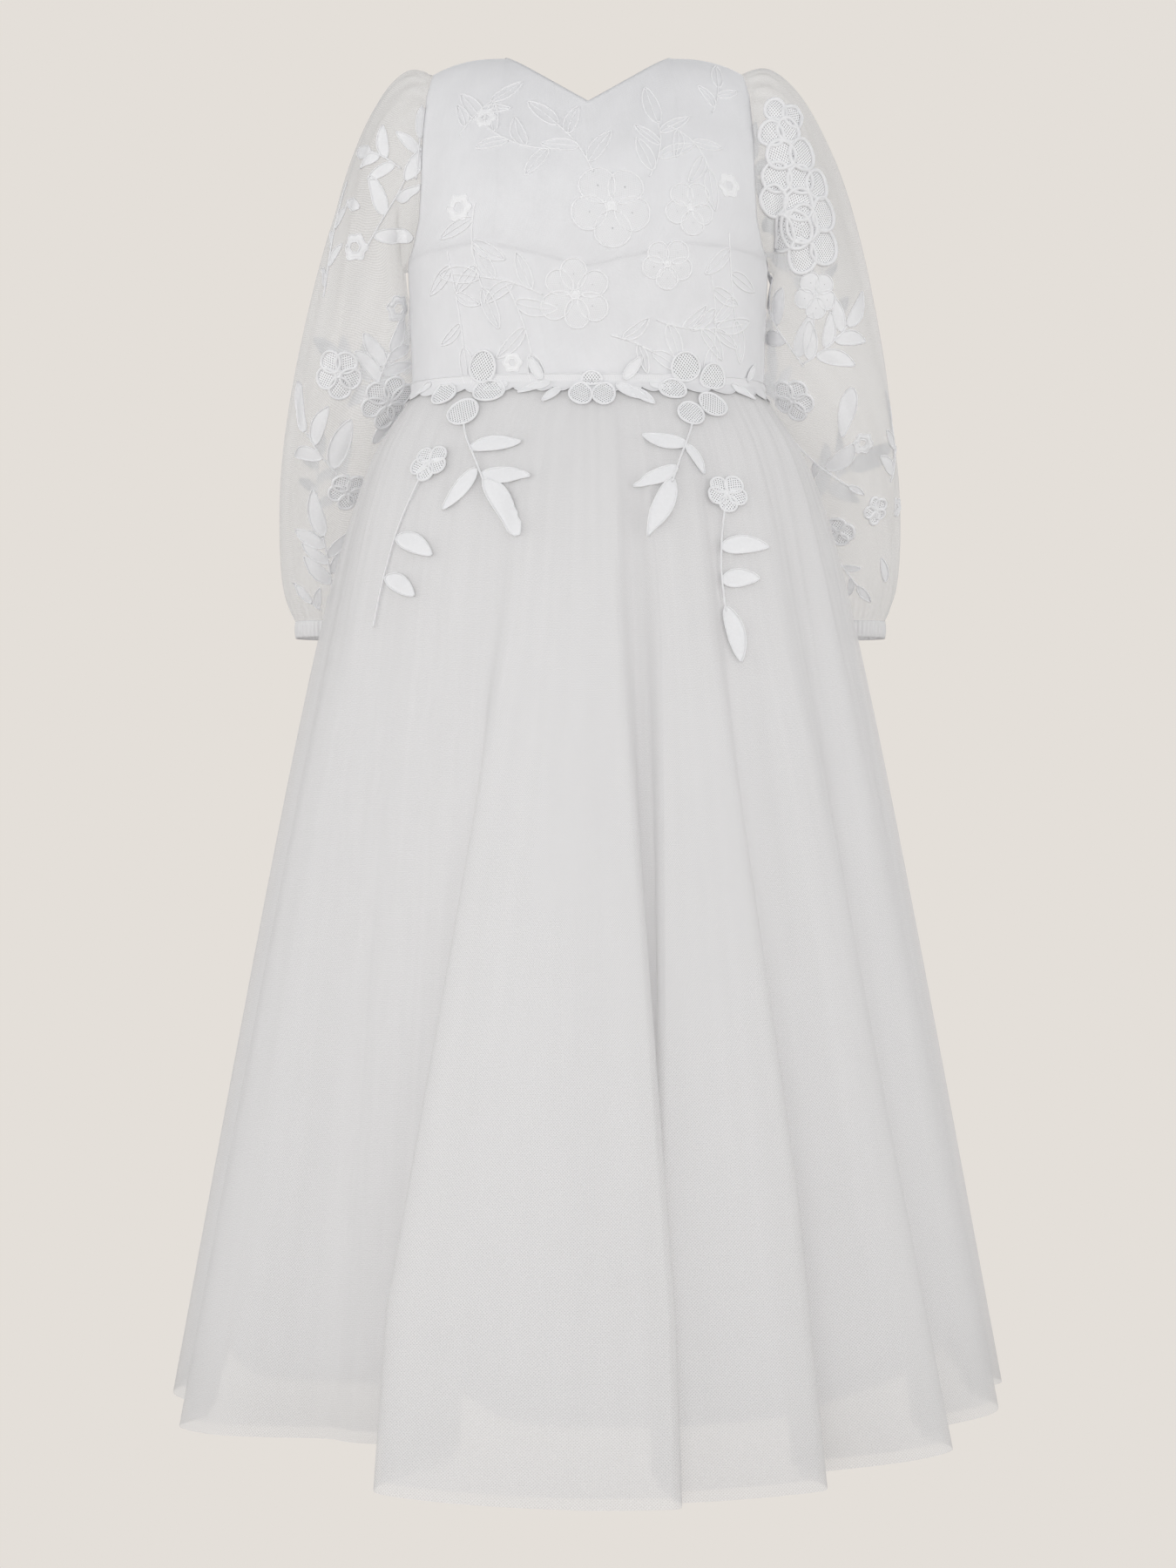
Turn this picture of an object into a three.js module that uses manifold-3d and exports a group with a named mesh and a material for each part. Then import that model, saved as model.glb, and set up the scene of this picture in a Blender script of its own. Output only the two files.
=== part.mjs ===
// A girl's long white communion dress, filled out as it is worn, with no wearer inside.
// Millimetres, +Z up, the front of the dress towards -Y and the wearer's left towards +X.
// The origin is midway between the two shoulder seams' neck ends, where the shoulders hold the dress up.
//
// Every piece of cloth is a closed wall made from a grid of points on its outer face. A grid is a list of
// rows from top to bottom, and a row is a list of points from one edge of the piece to the other.
import * as THREE from "three";
import { mergeVertices } from "three/addons/utils/BufferGeometryUtils.js";
import Module from "manifold-3d";

const wasm = await Module();
wasm.setup();

// ---------------------------------------------------------------- driving dimensions
const WAIST_Z = -264; // the waist seam
const HEM_Z = -1040; // the tulle's hem, before its rise and fall
const UNDERARM_Z = -166;
const SEAM = 0.3; // between two pieces that are sewn together
const CLOTH = 1.2; // bodice, lace over satin
const TULLE = 1;
const LINING = 1;
const CUFF = 1.4;
const LACE = 0.9;
const TAPE = 0.8;
const NECK_HALF = 65; // half the neckline's width at the shoulders
const NECK_DROP_FRONT = 46; // the point of the V
const NECK_DROP_BACK = 24;
const SHOULDER_FALL = 12.5; // from the neck's end of the shoulder seam to its armhole end
const NECK_RISE = 15; // how far the shoulder line would climb again by the middle of the neck
const SQUARE = 2.5; // how square the bodice's sections are, where 2 is an ellipse
const LEAN_START = 0.22; // the share of the skirt's length where its folds begin to lean over
const LAYER_GAP = 3.5; // from the top tulle's inner face to the second tulle's outer face
const SKIRT_LENGTH = WAIST_Z - HEM_Z;
const degrees = THREE.MathUtils.degToRad;

// ---------------------------------------------------------------- tables
// Straight lines between the rows of a table, whose first column is the one looked up.
function lookUp(table, key, column, value) {
  const next = table.findIndex((row) => row[key] >= value);
  if (next < 0) return table[table.length - 1][column];
  if (next === 0) return table[0][column];
  const [a, b] = [table[next - 1], table[next]];
  return THREE.MathUtils.mapLinear(value, a[key], b[key], a[column], b[column]);
}

// The same with the curve smoothed through the rows, for the outlines that show.
function smoothLookUp(table, key, column, value) {
  const last = table.length - 1;
  const i = THREE.MathUtils.clamp(table.findIndex((row) => row[key] >= value), 1, last);
  const row = (n) => table[THREE.MathUtils.clamp(n, 0, last)];
  const slope = (n) => {
    const [a, b] = [row(n - 1), row(n + 1)];
    return (b[column] - a[column]) / (b[key] - a[key]);
  };
  const [a, b] = [row(i - 1), row(i)];
  const span = b[key] - a[key];
  const s = THREE.MathUtils.clamp((value - a[key]) / span, 0, 1);
  return (
    (2 * s ** 3 - 3 * s ** 2 + 1) * a[column] +
    (s ** 3 - 2 * s ** 2 + s) * span * slope(i - 1) +
    (3 * s ** 2 - 2 * s ** 3) * b[column] +
    (s ** 3 - s ** 2) * span * slope(i)
  );
}

// The bodice's level sections, by how far they are below the origin.
const TORSO = [
  { down: 0, halfWidth: 146, front: 60, back: 60 },
  { down: 46, halfWidth: 144, front: 70, back: 72 },
  { down: 100, halfWidth: 142, front: 87, back: 88 },
  { down: 150, halfWidth: 141, front: 94, back: 90 },
  { down: 200, halfWidth: 139, front: 89, back: 84 },
  { down: 264, halfWidth: 137, front: 78, back: 78 },
];
const SHOULDER_ROUND = { front: 125, back: 110 }; // height over which the bodice rounds back to the shoulder seam

// The armhole's edge: how far out the bodice reaches at each level.
const ARMHOLE = [
  { down: 12, reach: 120 },
  { down: 35, reach: 125 },
  { down: 70, reach: 127.5 },
  { down: 105, reach: 128 },
  { down: 135, reach: 129.5 },
  { down: 155, reach: 134.5 },
  { down: 166, reach: 141 },
];

// The skirt's level sections at the bottom of its folds, by share of the way from waist to hem.
const SKIRT = [
  { share: 0, halfWidth: 137, halfDepth: 78, midY: 0, square: SQUARE },
  { share: 0.02, halfWidth: 146, halfDepth: 90, midY: -0.5, square: 2.45 },
  { share: 0.055, halfWidth: 162, halfDepth: 108, midY: -2, square: 2.3 },
  { share: 0.11, halfWidth: 178, halfDepth: 131, midY: -5, square: 2.15 },
  { share: 0.2, halfWidth: 195.5, halfDepth: 154, midY: -10, square: 2 },
  { share: 0.37, halfWidth: 219, halfDepth: 186, midY: -18, square: 2 },
  { share: 0.65, halfWidth: 252, halfDepth: 236, midY: -29, square: 2 },
  { share: 1, halfWidth: 291.5, halfDepth: 288, midY: -40, square: 2 },
];

// The folds round the skirt at the hem. Angles run from the wearer's left side by the back to the front at 270.
// out is the fold's height, rise and fall the shares of its width that its two flanks take, lean how far the crest
// is pushed along the hem, over the next fold, spread how much further its two edges part, and full the share of
// the skirt's length by which they have.
const FOLDS = [
  { from: -15, to: 10, out: 24, rise: 0.5, fall: 0.5, lean: -6, spread: 0, full: 1 },
  { from: 10, to: 37, out: 40, rise: 0.5, fall: 0.5, lean: 22, spread: 0, full: 1 },
  { from: 37, to: 63, out: 46, rise: 0.5, fall: 0.5, lean: 20, spread: 0, full: 1 },
  { from: 63, to: 90, out: 38, rise: 0.4, fall: 0.4, lean: -14, spread: 10, full: 1 },
  { from: 90, to: 117, out: 44, rise: 0.5, fall: 0.5, lean: 18, spread: 0, full: 1 },
  { from: 117, to: 146, out: 40, rise: 0.5, fall: 0.5, lean: -24, spread: 0, full: 1 },
  { from: 146, to: 172, out: 34, rise: 0.5, fall: 0.5, lean: -18, spread: 0, full: 1 },
  { from: 172, to: 194, out: 25, rise: 0.5, fall: 0.5, lean: 2, spread: 0, full: 1 },
  { from: 194, to: 222, out: 32, rise: 0.4, fall: 0.4, lean: -22, spread: 0, full: 1 },
  { from: 222, to: 249, out: 10, rise: 0.35, fall: 0.35, lean: -4, spread: 0, full: 1 },
  { from: 249, to: 281, out: 66, rise: 0.22, fall: 0.14, lean: -21, spread: 56, full: 0.85 },
  { from: 281, to: 300, out: 46, rise: 0.2, fall: 0.3, lean: 2, spread: 38, full: 0.75 },
  { from: 300, to: 325, out: 42, rise: 0.5, fall: 0.5, lean: 36, spread: 0, full: 1 },
  { from: 325, to: 345, out: 28, rise: 0.5, fall: 0.5, lean: 22, spread: 0, full: 1 },
];

// Round the hem: how far it hangs above its level, and how deep the skirt is pushed in beside the middle fold.
const HEM = [
  { at: -90, rise: 0, hollow: 0 },
  { at: -60, rise: 0, hollow: 0 },
  { at: -48, rise: 8, hollow: 0 },
  { at: -34, rise: 12, hollow: 0 },
  { at: -16, rise: 22, hollow: 0 },
  { at: 4, rise: 18, hollow: 0 },
  { at: 90, rise: 6, hollow: 0 },
  { at: 180, rise: 12, hollow: 0 },
  { at: 204, rise: 4, hollow: 6 },
  { at: 225, rise: 8, hollow: 42 },
  { at: 243, rise: 10, hollow: 52 },
  { at: 257, rise: 4, hollow: 2 },
  { at: 270, rise: 0, hollow: 0 },
];

// The sleeve's sections from armhole to cuff: the points where each meets the outline seen from the front,
// outside (outX, outZ) and inside (inX, inZ), then the middle's place from front to back and half its depth.
const SLEEVE = [
  { outX: 141, outZ: -11, inX: 144, inZ: -169, midY: 4, halfY: 46 },
  { outX: 165, outZ: -33, inX: 142, inZ: -178, midY: 12, halfY: 52 },
  { outX: 187, outZ: -77, inX: 139, inZ: -194, midY: 20, halfY: 54 },
  { outX: 205.5, outZ: -131, inX: 135.8, inZ: -216, midY: 30, halfY: 52 },
  { outX: 223.5, outZ: -196, inX: 132.5, inZ: -250, midY: 42, halfY: 49 },
  { outX: 238, outZ: -258, inX: 155, inZ: -290, midY: 58, halfY: 46 },
  { outX: 248, outZ: -314, inX: 171, inZ: -332, midY: 84, halfY: 43 },
  { outX: 251.5, outZ: -366, inX: 179, inZ: -374, midY: 108, halfY: 39 },
  { outX: 249.5, outZ: -406, inX: 184, inZ: -408, midY: 124, halfY: 34 },
  { outX: 241, outZ: -432, inX: 190, inZ: -432, midY: 134, halfY: 27 },
];
const SWING = 4; // how much further out the wearer's left sleeve hangs at its cuff
const CUFF_HEIGHT = 14;

// ---------------------------------------------------------------- walls of cloth
const add = (p, n, distance) => p.clone().addScaledVector(n, distance);

// The outward direction at each point of a grid, from the faces round it.
function gridNormals(grid, loop) {
  const across = grid[0].length;
  const column = (c) => (loop ? (c + across) % across : THREE.MathUtils.clamp(c, 0, across - 1));
  const rowAt = (r) => grid[THREE.MathUtils.clamp(r, 0, grid.length - 1)];
  return grid.map((row, r) =>
    row.map((_, c) => {
      const along = rowAt(r)[column(c + 1)].clone().sub(rowAt(r)[column(c - 1)]);
      const down = rowAt(r + 1)[c].clone().sub(rowAt(r - 1)[c]);
      return down.cross(along).normalize();
    }),
  );
}

// A closed solid between a grid of outer points and the same points moved in by the thickness.
function wall(outer, normals, thickness, loop) {
  const rows = outer.length;
  const across = outer[0].length;
  const inner = outer.map((row, r) => row.map((p, c) => add(p, normals[r][c], -thickness)));
  const positions = [...outer.flat(), ...inner.flat()].flatMap((p) => p.toArray());
  const front = (r, c) => r * across + (c % across);
  const back = (r, c) => rows * across + front(r, c);
  const faces = [];
  const quad = (a, b, c, d) => faces.push(a, b, c, a, c, d);
  const last = loop ? across : across - 1;
  for (let c = 0; c < last; c += 1) {
    for (let r = 0; r < rows - 1; r += 1) {
      quad(front(r, c), front(r + 1, c), front(r + 1, c + 1), front(r, c + 1));
      quad(back(r, c), back(r, c + 1), back(r + 1, c + 1), back(r + 1, c));
    }
    quad(front(0, c), front(0, c + 1), back(0, c + 1), back(0, c));
    quad(front(rows - 1, c), back(rows - 1, c), back(rows - 1, c + 1), front(rows - 1, c + 1));
  }
  for (let r = 0; !loop && r < rows - 1; r += 1) {
    quad(front(r, 0), back(r, 0), back(r + 1, 0), front(r + 1, 0));
    quad(front(r, last), front(r + 1, last), back(r + 1, last), back(r, last));
  }
  const geometry = new THREE.BufferGeometry();
  geometry.setAttribute("position", new THREE.Float32BufferAttribute(positions, 3));
  geometry.setIndex(faces);
  return facingOut(geometry);
}

// The geometry with its faces turned round if they point inwards.
function facingOut(geometry) {
  const p = geometry.getAttribute("position");
  const faces = geometry.getIndex().array;
  const [a, b, c] = [new THREE.Vector3(), new THREE.Vector3(), new THREE.Vector3()];
  let volume = 0;
  for (let i = 0; i < faces.length; i += 3) {
    a.fromBufferAttribute(p, faces[i]);
    b.fromBufferAttribute(p, faces[i + 1]);
    c.fromBufferAttribute(p, faces[i + 2]);
    volume += a.dot(b.cross(c));
  }
  for (let i = 0; volume < 0 && i < faces.length; i += 3) {
    [faces[i + 1], faces[i + 2]] = [faces[i + 2], faces[i + 1]];
  }
  return geometry;
}

// ---------------------------------------------------------------- materials and pieces
const MATERIALS = {
  lace: new THREE.MeshStandardMaterial({ color: 0xf1f1f3, roughness: 0.85, metalness: 0 }),
  organza: new THREE.MeshStandardMaterial({ color: 0xeeeeec, roughness: 0.7, metalness: 0 }),
  tulle: new THREE.MeshStandardMaterial({ color: 0xebebeb, roughness: 0.8, metalness: 0 }),
  lining: new THREE.MeshStandardMaterial({ color: 0xf3f2f4, roughness: 0.55, metalness: 0 }),
  guipure: new THREE.MeshStandardMaterial({ color: 0xf8f8fa, roughness: 0.8, metalness: 0 }),
  tape: new THREE.MeshStandardMaterial({ color: 0xf0f0f0, roughness: 0.8, metalness: 0 }),
  enamel: new THREE.MeshStandardMaterial({ color: 0xf2f2f2, roughness: 0.3, metalness: 0.2 }),
};
const dress = new THREE.Group();

function piece(name, geometry, material, parent = dress) {
  const mesh = new THREE.Mesh(geometry, material);
  mesh.name = name;
  parent.add(mesh);
  return mesh;
}

// ---------------------------------------------------------------- the bodice
// The shoulder line: level where the neckline meets it, and rounding down from there to the armhole.
function shoulderZ(x) {
  const past = Math.abs(x) - NECK_HALF;
  if (past > 0) return -SHOULDER_FALL * (past / (ARMHOLE[0].reach - NECK_HALF)) ** 2.5;
  return NECK_RISE * (past / NECK_HALF) ** 2;
}

// How much further out than on an ellipse a section lies at an angle.
function squaring(t, square) {
  return (Math.abs(Math.cos(t)) ** square + Math.abs(Math.sin(t)) ** square) ** (-1 / square);
}

function torsoSection(z, face) {
  const down = THREE.MathUtils.clamp(-z, 0, -WAIST_Z);
  return {
    halfWidth: smoothLookUp(TORSO, "down", "halfWidth", down),
    depth: smoothLookUp(TORSO, "down", face, down),
  };
}

// A point on the bodice, x out from the middle at the height z. It rounds back to the shoulder seam at the top.
function torsoPoint(face, x, z) {
  const { halfWidth, depth } = torsoSection(z, face);
  const bulge = Math.max(0, 1 - Math.abs(x / halfWidth) ** SQUARE) ** (1 / SQUARE);
  const below = Math.min(1, Math.max(0, shoulderZ(x) - z) / SHOULDER_ROUND[face]);
  const y = SEAM / 2 + depth * bulge * Math.sqrt(1 - (1 - below) ** 2);
  return new THREE.Vector3(x, face === "front" ? -y : y, z);
}

function bodiceReach(z, face) {
  return -z < -UNDERARM_Z ? lookUp(ARMHOLE, "down", "reach", -z) : torsoSection(z, face).halfWidth;
}

// Shares of the half width, with one at the neckline's end of the shoulder seam.
const NECK_SHARE = NECK_HALF / ARMHOLE[0].reach;
const BODICE_ACROSS = [0, 0.2, 0.38, NECK_SHARE, 0.66, 0.78, 0.9, 1];
const BODICE_DOWN = [0, 0.03, 0.1, 0.2, 0.33, 0.47, 0.632, 0.81, 1];

function bodiceTop(share, face) {
  const inNeck = share / NECK_SHARE;
  if (inNeck >= 1) return shoulderZ(share * ARMHOLE[0].reach);
  return face === "front" ? -NECK_DROP_FRONT * (1 - inNeck) : -NECK_DROP_BACK * (1 - inNeck ** 2);
}

// One column of the bodice for each share of the half width, negative ones to the wearer's right.
function bodiceGrid(face, shares) {
  return BODICE_DOWN.map((down) =>
    shares.map((share) => {
      const top = bodiceTop(Math.abs(share), face);
      const z = THREE.MathUtils.lerp(top, WAIST_Z + SEAM / 2, down);
      return torsoPoint(face, share * bodiceReach(z, face), z);
    }),
  );
}

// Keeps the cut edges of a bodice piece in the seam's own plane, so that neighbours stay a seam apart.
function bodiceWall(grid) {
  const normals = gridNormals(grid, false);
  const [rows, across] = [grid.length, grid[0].length];
  grid.forEach((row, r) =>
    row.forEach((p, c) => {
      if (Math.abs(p.y) <= SEAM / 2 + 0.01) normals[r][c].setY(0);
      if (Math.abs(p.x) <= SEAM / 2 + 0.01 && (c === 0 || c === across - 1)) normals[r][c].setX(0);
      if (r === rows - 1) normals[r][c].setZ(0);
      normals[r][c].normalize();
    }),
  );
  return wall(grid, normals, CLOTH, false);
}

function bodiceFront() {
  const right = BODICE_ACROSS.slice(1).reverse().map((share) => -share);
  return bodiceWall(bodiceGrid("front", [...right, ...BODICE_ACROSS]));
}

// side is 1 for the wearer's left half and -1 for the right.
function bodiceBack(side) {
  const grid = bodiceGrid("back", BODICE_ACROSS.map((share) => side * share));
  grid.forEach((row) => row[0].setX((side * SEAM) / 2));
  return bodiceWall(side > 0 ? grid.map((row) => row.reverse()) : grid);
}

piece("bodice_front", bodiceFront(), MATERIALS.lace);
piece("bodice_back_left", bodiceBack(1), MATERIALS.lace);
piece("bodice_back_right", bodiceBack(-1), MATERIALS.lace);

// ---------------------------------------------------------------- the sleeves
const SLEEVE_AROUND = 16;
const SLEEVE_GAP = 0.5; // from the armhole's edge

// Round a section, turn 0 is its outer or upper end, a quarter turn the back and half a turn the inside.
function sleeveRing(side, section) {
  const middle = new THREE.Vector3(
    (section.outX + section.inX) / 2,
    section.midY,
    (section.outZ + section.inZ) / 2,
  );
  const reach = new THREE.Vector3(section.outX - middle.x, 0, section.outZ - middle.z);
  return (turn) => {
    const p = add(middle, reach, Math.cos(turn));
    p.y += section.halfY * Math.sin(turn);
    const swing = side > 0 ? (SWING * middle.z) / SLEEVE[SLEEVE.length - 1].outZ : 0;
    return p.setX(side * (p.x + swing));
  };
}

// The armhole's own edge, a little further out.
function armholeRing(side) {
  const top = shoulderZ(ARMHOLE[0].reach);
  return (turn) => {
    const z = THREE.MathUtils.lerp(top, UNDERARM_Z, (1 - Math.cos(turn)) / 2);
    const face = Math.sin(turn) < 0 ? "front" : "back";
    const edge = torsoPoint(face, bodiceReach(z, face), z);
    return new THREE.Vector3(side * (edge.x + SLEEVE_GAP), edge.y, edge.z);
  };
}

function ringGrid(rings, around, side) {
  const turns = Array.from({ length: around }, (_, i) => (i / around) * 2 * Math.PI * side);
  return rings.map((ring) => turns.map((turn) => ring(turn)));
}

function sleeve(side) {
  const rings = [armholeRing(side), ...SLEEVE.map((section) => sleeveRing(side, section))];
  const grid = ringGrid(rings, SLEEVE_AROUND, -side);
  const normals = gridNormals(grid, true);
  normals[rings.length - 1].forEach((n) => n.setZ(0).normalize());
  return wall(grid, normals, TULLE, true);
}

function cuff(side) {
  const wrist = SLEEVE[SLEEVE.length - 1];
  const levels = [SEAM, SEAM + CUFF_HEIGHT];
  const rings = levels.map((drop) => {
    const section = { ...wrist, outZ: wrist.outZ - drop, inZ: wrist.inZ - drop };
    return sleeveRing(side, { ...section, outX: wrist.outX - 1, inX: wrist.inX + 1, midY: wrist.midY + drop / 5 });
  });
  const grid = ringGrid(rings, SLEEVE_AROUND, -side);
  const normals = gridNormals(grid, true);
  normals.flat().forEach((n) => n.setZ(0).normalize());
  return wall(grid, normals, CUFF, true);
}

for (const [name, side] of [["left", 1], ["right", -1]]) {
  piece(`sleeve_${name}`, sleeve(side), MATERIALS.organza);
  piece(`cuff_${name}`, cuff(side), MATERIALS.lining);
}

// ---------------------------------------------------------------- the skirt's layers
const wrapped = (angle) => (((angle + 15) % 360) + 360) % 360 - 15;
const foldAt = (angle) => FOLDS.find((fold) => wrapped(angle) <= fold.to + 1e-9) ?? FOLDS[0];

function hemAt(angle, column) {
  const at = (((angle + 90) % 360) + 360) % 360 - 90;
  return smoothLookUp(HEM, "at", column, at);
}

// How high a fold stands at a place across it, from 0 to 1.
function crestAt(fold, across) {
  const flank = Math.min(1, across / fold.rise, (1 - across) / fold.fall);
  return Math.sin((Math.max(0, flank) * Math.PI) / 2) ** 2;
}

// How much of a change that begins where the folds start to lean is reached at a share of the way down.
const leanAt = (share, full) => THREE.MathUtils.clamp((share - LEAN_START) / (full - LEAN_START), 0, 1);

// A point on the skirt at an angle in degrees, a share of the way down. folded is 1 on the tulle and 0 on the
// lining, which hangs at the bottom of the folds.
function skirtPoint(angle, share, folded, length = 1) {
  const fold = foldAt(angle);
  const across = (wrapped(angle) - fold.from) / (fold.to - fold.from);
  const crest = folded * crestAt(fold, across);
  const section = (column) => smoothLookUp(SKIRT, "share", column, share * length);
  const [halfWidth, halfDepth, midY, square] = ["halfWidth", "halfDepth", "midY", "square"].map(section);
  const t = degrees(angle);
  const reach = squaring(t, square);
  const p = new THREE.Vector3(reach * halfWidth * Math.cos(t), midY + reach * halfDepth * Math.sin(t), 0);
  const outward = new THREE.Vector3(halfDepth * Math.cos(t), halfWidth * Math.sin(t), 0).normalize();
  const onward = new THREE.Vector3(-outward.y, outward.x, 0);
  p.addScaledVector(outward, fold.out * crest * share - hemAt(angle, "hollow") * leanAt(share, 1));
  const shift = fold.lean + fold.spread * (2 * across - 1);
  p.addScaledVector(onward, shift * crest * leanAt(share, fold.full));
  const drop = (SKIRT_LENGTH - hemAt(angle, "rise")) * length * share;
  return p.setZ(WAIST_Z - SEAM / 2 - drop);
}

// Where the columns stand across a fold, and on both sides of the three seams.
const FOLD_COLUMNS = [0, 0.22, 0.42, 0.6, 0.8];
const BROAD_COLUMNS = [0, 0.12, 0.25, 0.42, 0.6, 0.75, 0.88];
const SEAM_ANGLES = [0, 90, 180];
const HALF_SEAM = THREE.MathUtils.radToDeg(SEAM / 2 / SKIRT[0].halfDepth);

function columnsWith(angles) {
  const clear = angles.filter((a) => SEAM_ANGLES.every((s) => Math.abs(wrapped(a) - s) > 1.2));
  const seams = SEAM_ANGLES.flatMap((s) => [s - HALF_SEAM, s + HALF_SEAM]);
  return [...clear, ...seams].map((a) => (a < 0 ? a + 360 : a)).sort((a, b) => a - b);
}

const foldedColumns = columnsWith(
  FOLDS.flatMap(({ from, to }) => {
    const shares = to - from > 30 ? BROAD_COLUMNS : FOLD_COLUMNS;
    return shares.map((share) => from + share * (to - from));
  }),
);
const LINING_AROUND = 36;
const plainColumns = columnsWith(Array.from({ length: LINING_AROUND }, (_, i) => ((i + 0.5) * 360) / LINING_AROUND));

// The two columns at a seam share one direction, so that the pieces stay parallel there.
function shareSeamNormals(normals, columns) {
  for (const seam of SEAM_ANGLES) {
    const near = columns.flatMap((a, c) => (Math.abs(wrapped(a) - seam) < 2 * HALF_SEAM ? [c] : []));
    normals.forEach((row) => {
      const shared = near.reduce((sum, c) => sum.add(row[c]), new THREE.Vector3()).normalize();
      near.forEach((c) => row[c].copy(shared));
    });
  }
}

const PANELS = { front: [180, 360], back_left: [0, 90], back_right: [90, 180] };

// Cuts a band that goes all round the waist into its front and its two backs, each a wall of its own.
function cutAtSeams(placed, normals, columns, thickness) {
  return Object.entries(PANELS).map(([name, [low, high]]) => {
    const kept = columns.flatMap((a, c) => (a > low && a < high ? [c] : []));
    const pick = (rows) => rows.map((row) => kept.map((c) => row[c]));
    return [name, wall(pick(placed), pick(normals), thickness, false)];
  });
}

function skirtLayer(layer) {
  const grid = layer.rows.map((share) => layer.columns.map((a) => layer.point(a, share)));
  const normals = gridNormals(grid, true);
  normals[0].forEach((n) => n.setZ(0).normalize());
  shareSeamNormals(normals, layer.columns);
  const placed = grid.map((row, r) => row.map((p, c) => add(p, normals[r][c], -layer.inset(layer.rows[r]))));
  return cutAtSeams(placed, normals, layer.columns, layer.thickness);
}

const TULLE_ROWS = [0, 0.018, 0.06, 0.13, 0.25, 0.45, 1];
const LAYERS = {
  skirt_tulle: {
    material: MATERIALS.tulle,
    columns: foldedColumns,
    rows: TULLE_ROWS,
    point: (angle, share) => skirtPoint(angle, share, 1),
    inset: () => 0,
    thickness: TULLE,
  },
  skirt_under: {
    material: MATERIALS.tulle,
    columns: foldedColumns,
    rows: TULLE_ROWS,
    point: (angle, share) => skirtPoint(angle, share, 1, 0.99),
    inset: (share) => TULLE + SEAM + (LAYER_GAP - SEAM) * Math.min(1, share * 5),
    thickness: TULLE,
  },
  skirt_lining: {
    material: MATERIALS.lining,
    columns: plainColumns,
    rows: [0, 0.018, 0.06, 0.16, 0.4, 1],
    point: (angle, share) => skirtPoint(angle, share, 0, 0.95),
    inset: (share) => 2 * (TULLE + SEAM) + 0.2 + 11 * Math.min(1, share * 4),
    thickness: LINING,
  },
};

for (const [name, layer] of Object.entries(LAYERS)) {
  for (const [panel, geometry] of skirtLayer(layer)) {
    piece(`${name}_${panel}`, geometry, layer.material);
  }
}

// ---------------------------------------------------------------- lace laid over the waist seam
const LACE_ABOVE = 11; // over the bodice
const LACE_BELOW = 12; // over the skirt, to the scallops' hollows
const SCALLOP = 7;
const SCALLOPS = 40;
const LACE_CLEAR = 1.1; // above the cloth that it lies on

function laceRow(share) {
  return (angle) => {
    const t = degrees(angle);
    const z = WAIST_Z + LACE_ABOVE * (1 - share);
    const { halfWidth, depth } = torsoSection(z, Math.sin(t) < 0 ? "front" : "back");
    const reach = squaring(t, SQUARE);
    return new THREE.Vector3(reach * halfWidth * Math.cos(t), reach * depth * Math.sin(t), z);
  };
}

function laceHem(share) {
  return (angle) => {
    const dip = SCALLOP * Math.abs(Math.sin((degrees(angle) * SCALLOPS) / 2));
    return skirtPoint(angle, ((LACE_BELOW + dip) * share) / SKIRT_LENGTH, 1);
  };
}

const laceColumns = columnsWith(
  Array.from({ length: 2 * SCALLOPS }, (_, i) => (i * 180) / SCALLOPS).filter((a) => a % 90 > 0.1),
);
const laceLevels = [laceRow(0), laceRow(1), laceHem(1)];

function waistLace() {
  const grid = laceLevels.map((level) => laceColumns.map(level));
  const normals = gridNormals(grid, true);
  shareSeamNormals(normals, laceColumns);
  const placed = grid.map((row, r) => row.map((p, c) => add(p, normals[r][c], LACE_CLEAR + LACE)));
  return cutAtSeams(placed, normals, laceColumns, LACE);
}

for (const [panel, geometry] of waistLace()) {
  piece(`waist_lace_${panel}`, geometry, MATERIALS.guipure);
}

// ---------------------------------------------------------------- sprays of leaves and flowers on the skirt
// Each spray hangs on a stem that starts at an angle round the waist. across and down are millimetres along the
// cloth from there, and a leaf's turn is 0 pointing down and 90 towards the wearer's left.
const SPRAYS = {
  spray_front_right: {
    root: { angle: 235, down: 29 },
    stem: [[0, 0], [8, 16], [18, 32], [28, 50]],
    leaves: [
      { across: 12, down: 24, turn: 99, length: 40, width: 13 },
      { across: 25, down: 45, turn: 80, length: 40, width: 13 },
      { across: 21, down: 40, turn: -37, length: 42, width: 13 },
      { across: 28, down: 48, turn: 31, length: 64, width: 17 },
    ],
    flowers: [],
  },
  spray_front_left: {
    root: { angle: 299.5, down: 28 },
    stem: [[0, 0], [-10, 16], [-20, 34], [-29, 52]],
    leaves: [
      { across: -12, down: 22, turn: -112, length: 36, width: 13 },
      { across: -23, down: 40, turn: -66, length: 38, width: 12 },
      { across: -28, down: 49, turn: -28, length: 56, width: 15 },
      { across: -13, down: 22, turn: 24, length: 28, width: 9 },
    ],
    flowers: [],
  },
  spray_side_right: {
    root: { angle: 227.5, down: 65 },
    stem: [[0, 0], [-9, 24], [-19, 50], [-26, 84], [-30, 122]],
    leaves: [
      { across: -19, down: 54, turn: 68, length: 42, width: 14 },
      { across: -25, down: 84, turn: 62, length: 38, width: 13 },
    ],
    flowers: [{ across: 1, down: -2, radius: 13 }],
  },
  spray_side_left: {
    root: { angle: 304, down: 88 },
    stem: [[0, 0], [-6, 20], [-11, 42], [-14, 66], [-13, 88]],
    leaves: [
      { across: -11, down: 40, turn: 90, length: 38, width: 14 },
      { across: -14, down: 65, turn: 88, length: 32, width: 14 },
      { across: -13, down: 84, turn: 9, length: 44, width: 15 },
    ],
    flowers: [{ across: 0, down: -1, radius: 13 }],
  },
};
const SPRAY_CLEAR = 2.2;
const STEM_WIDTH = 3;

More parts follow.
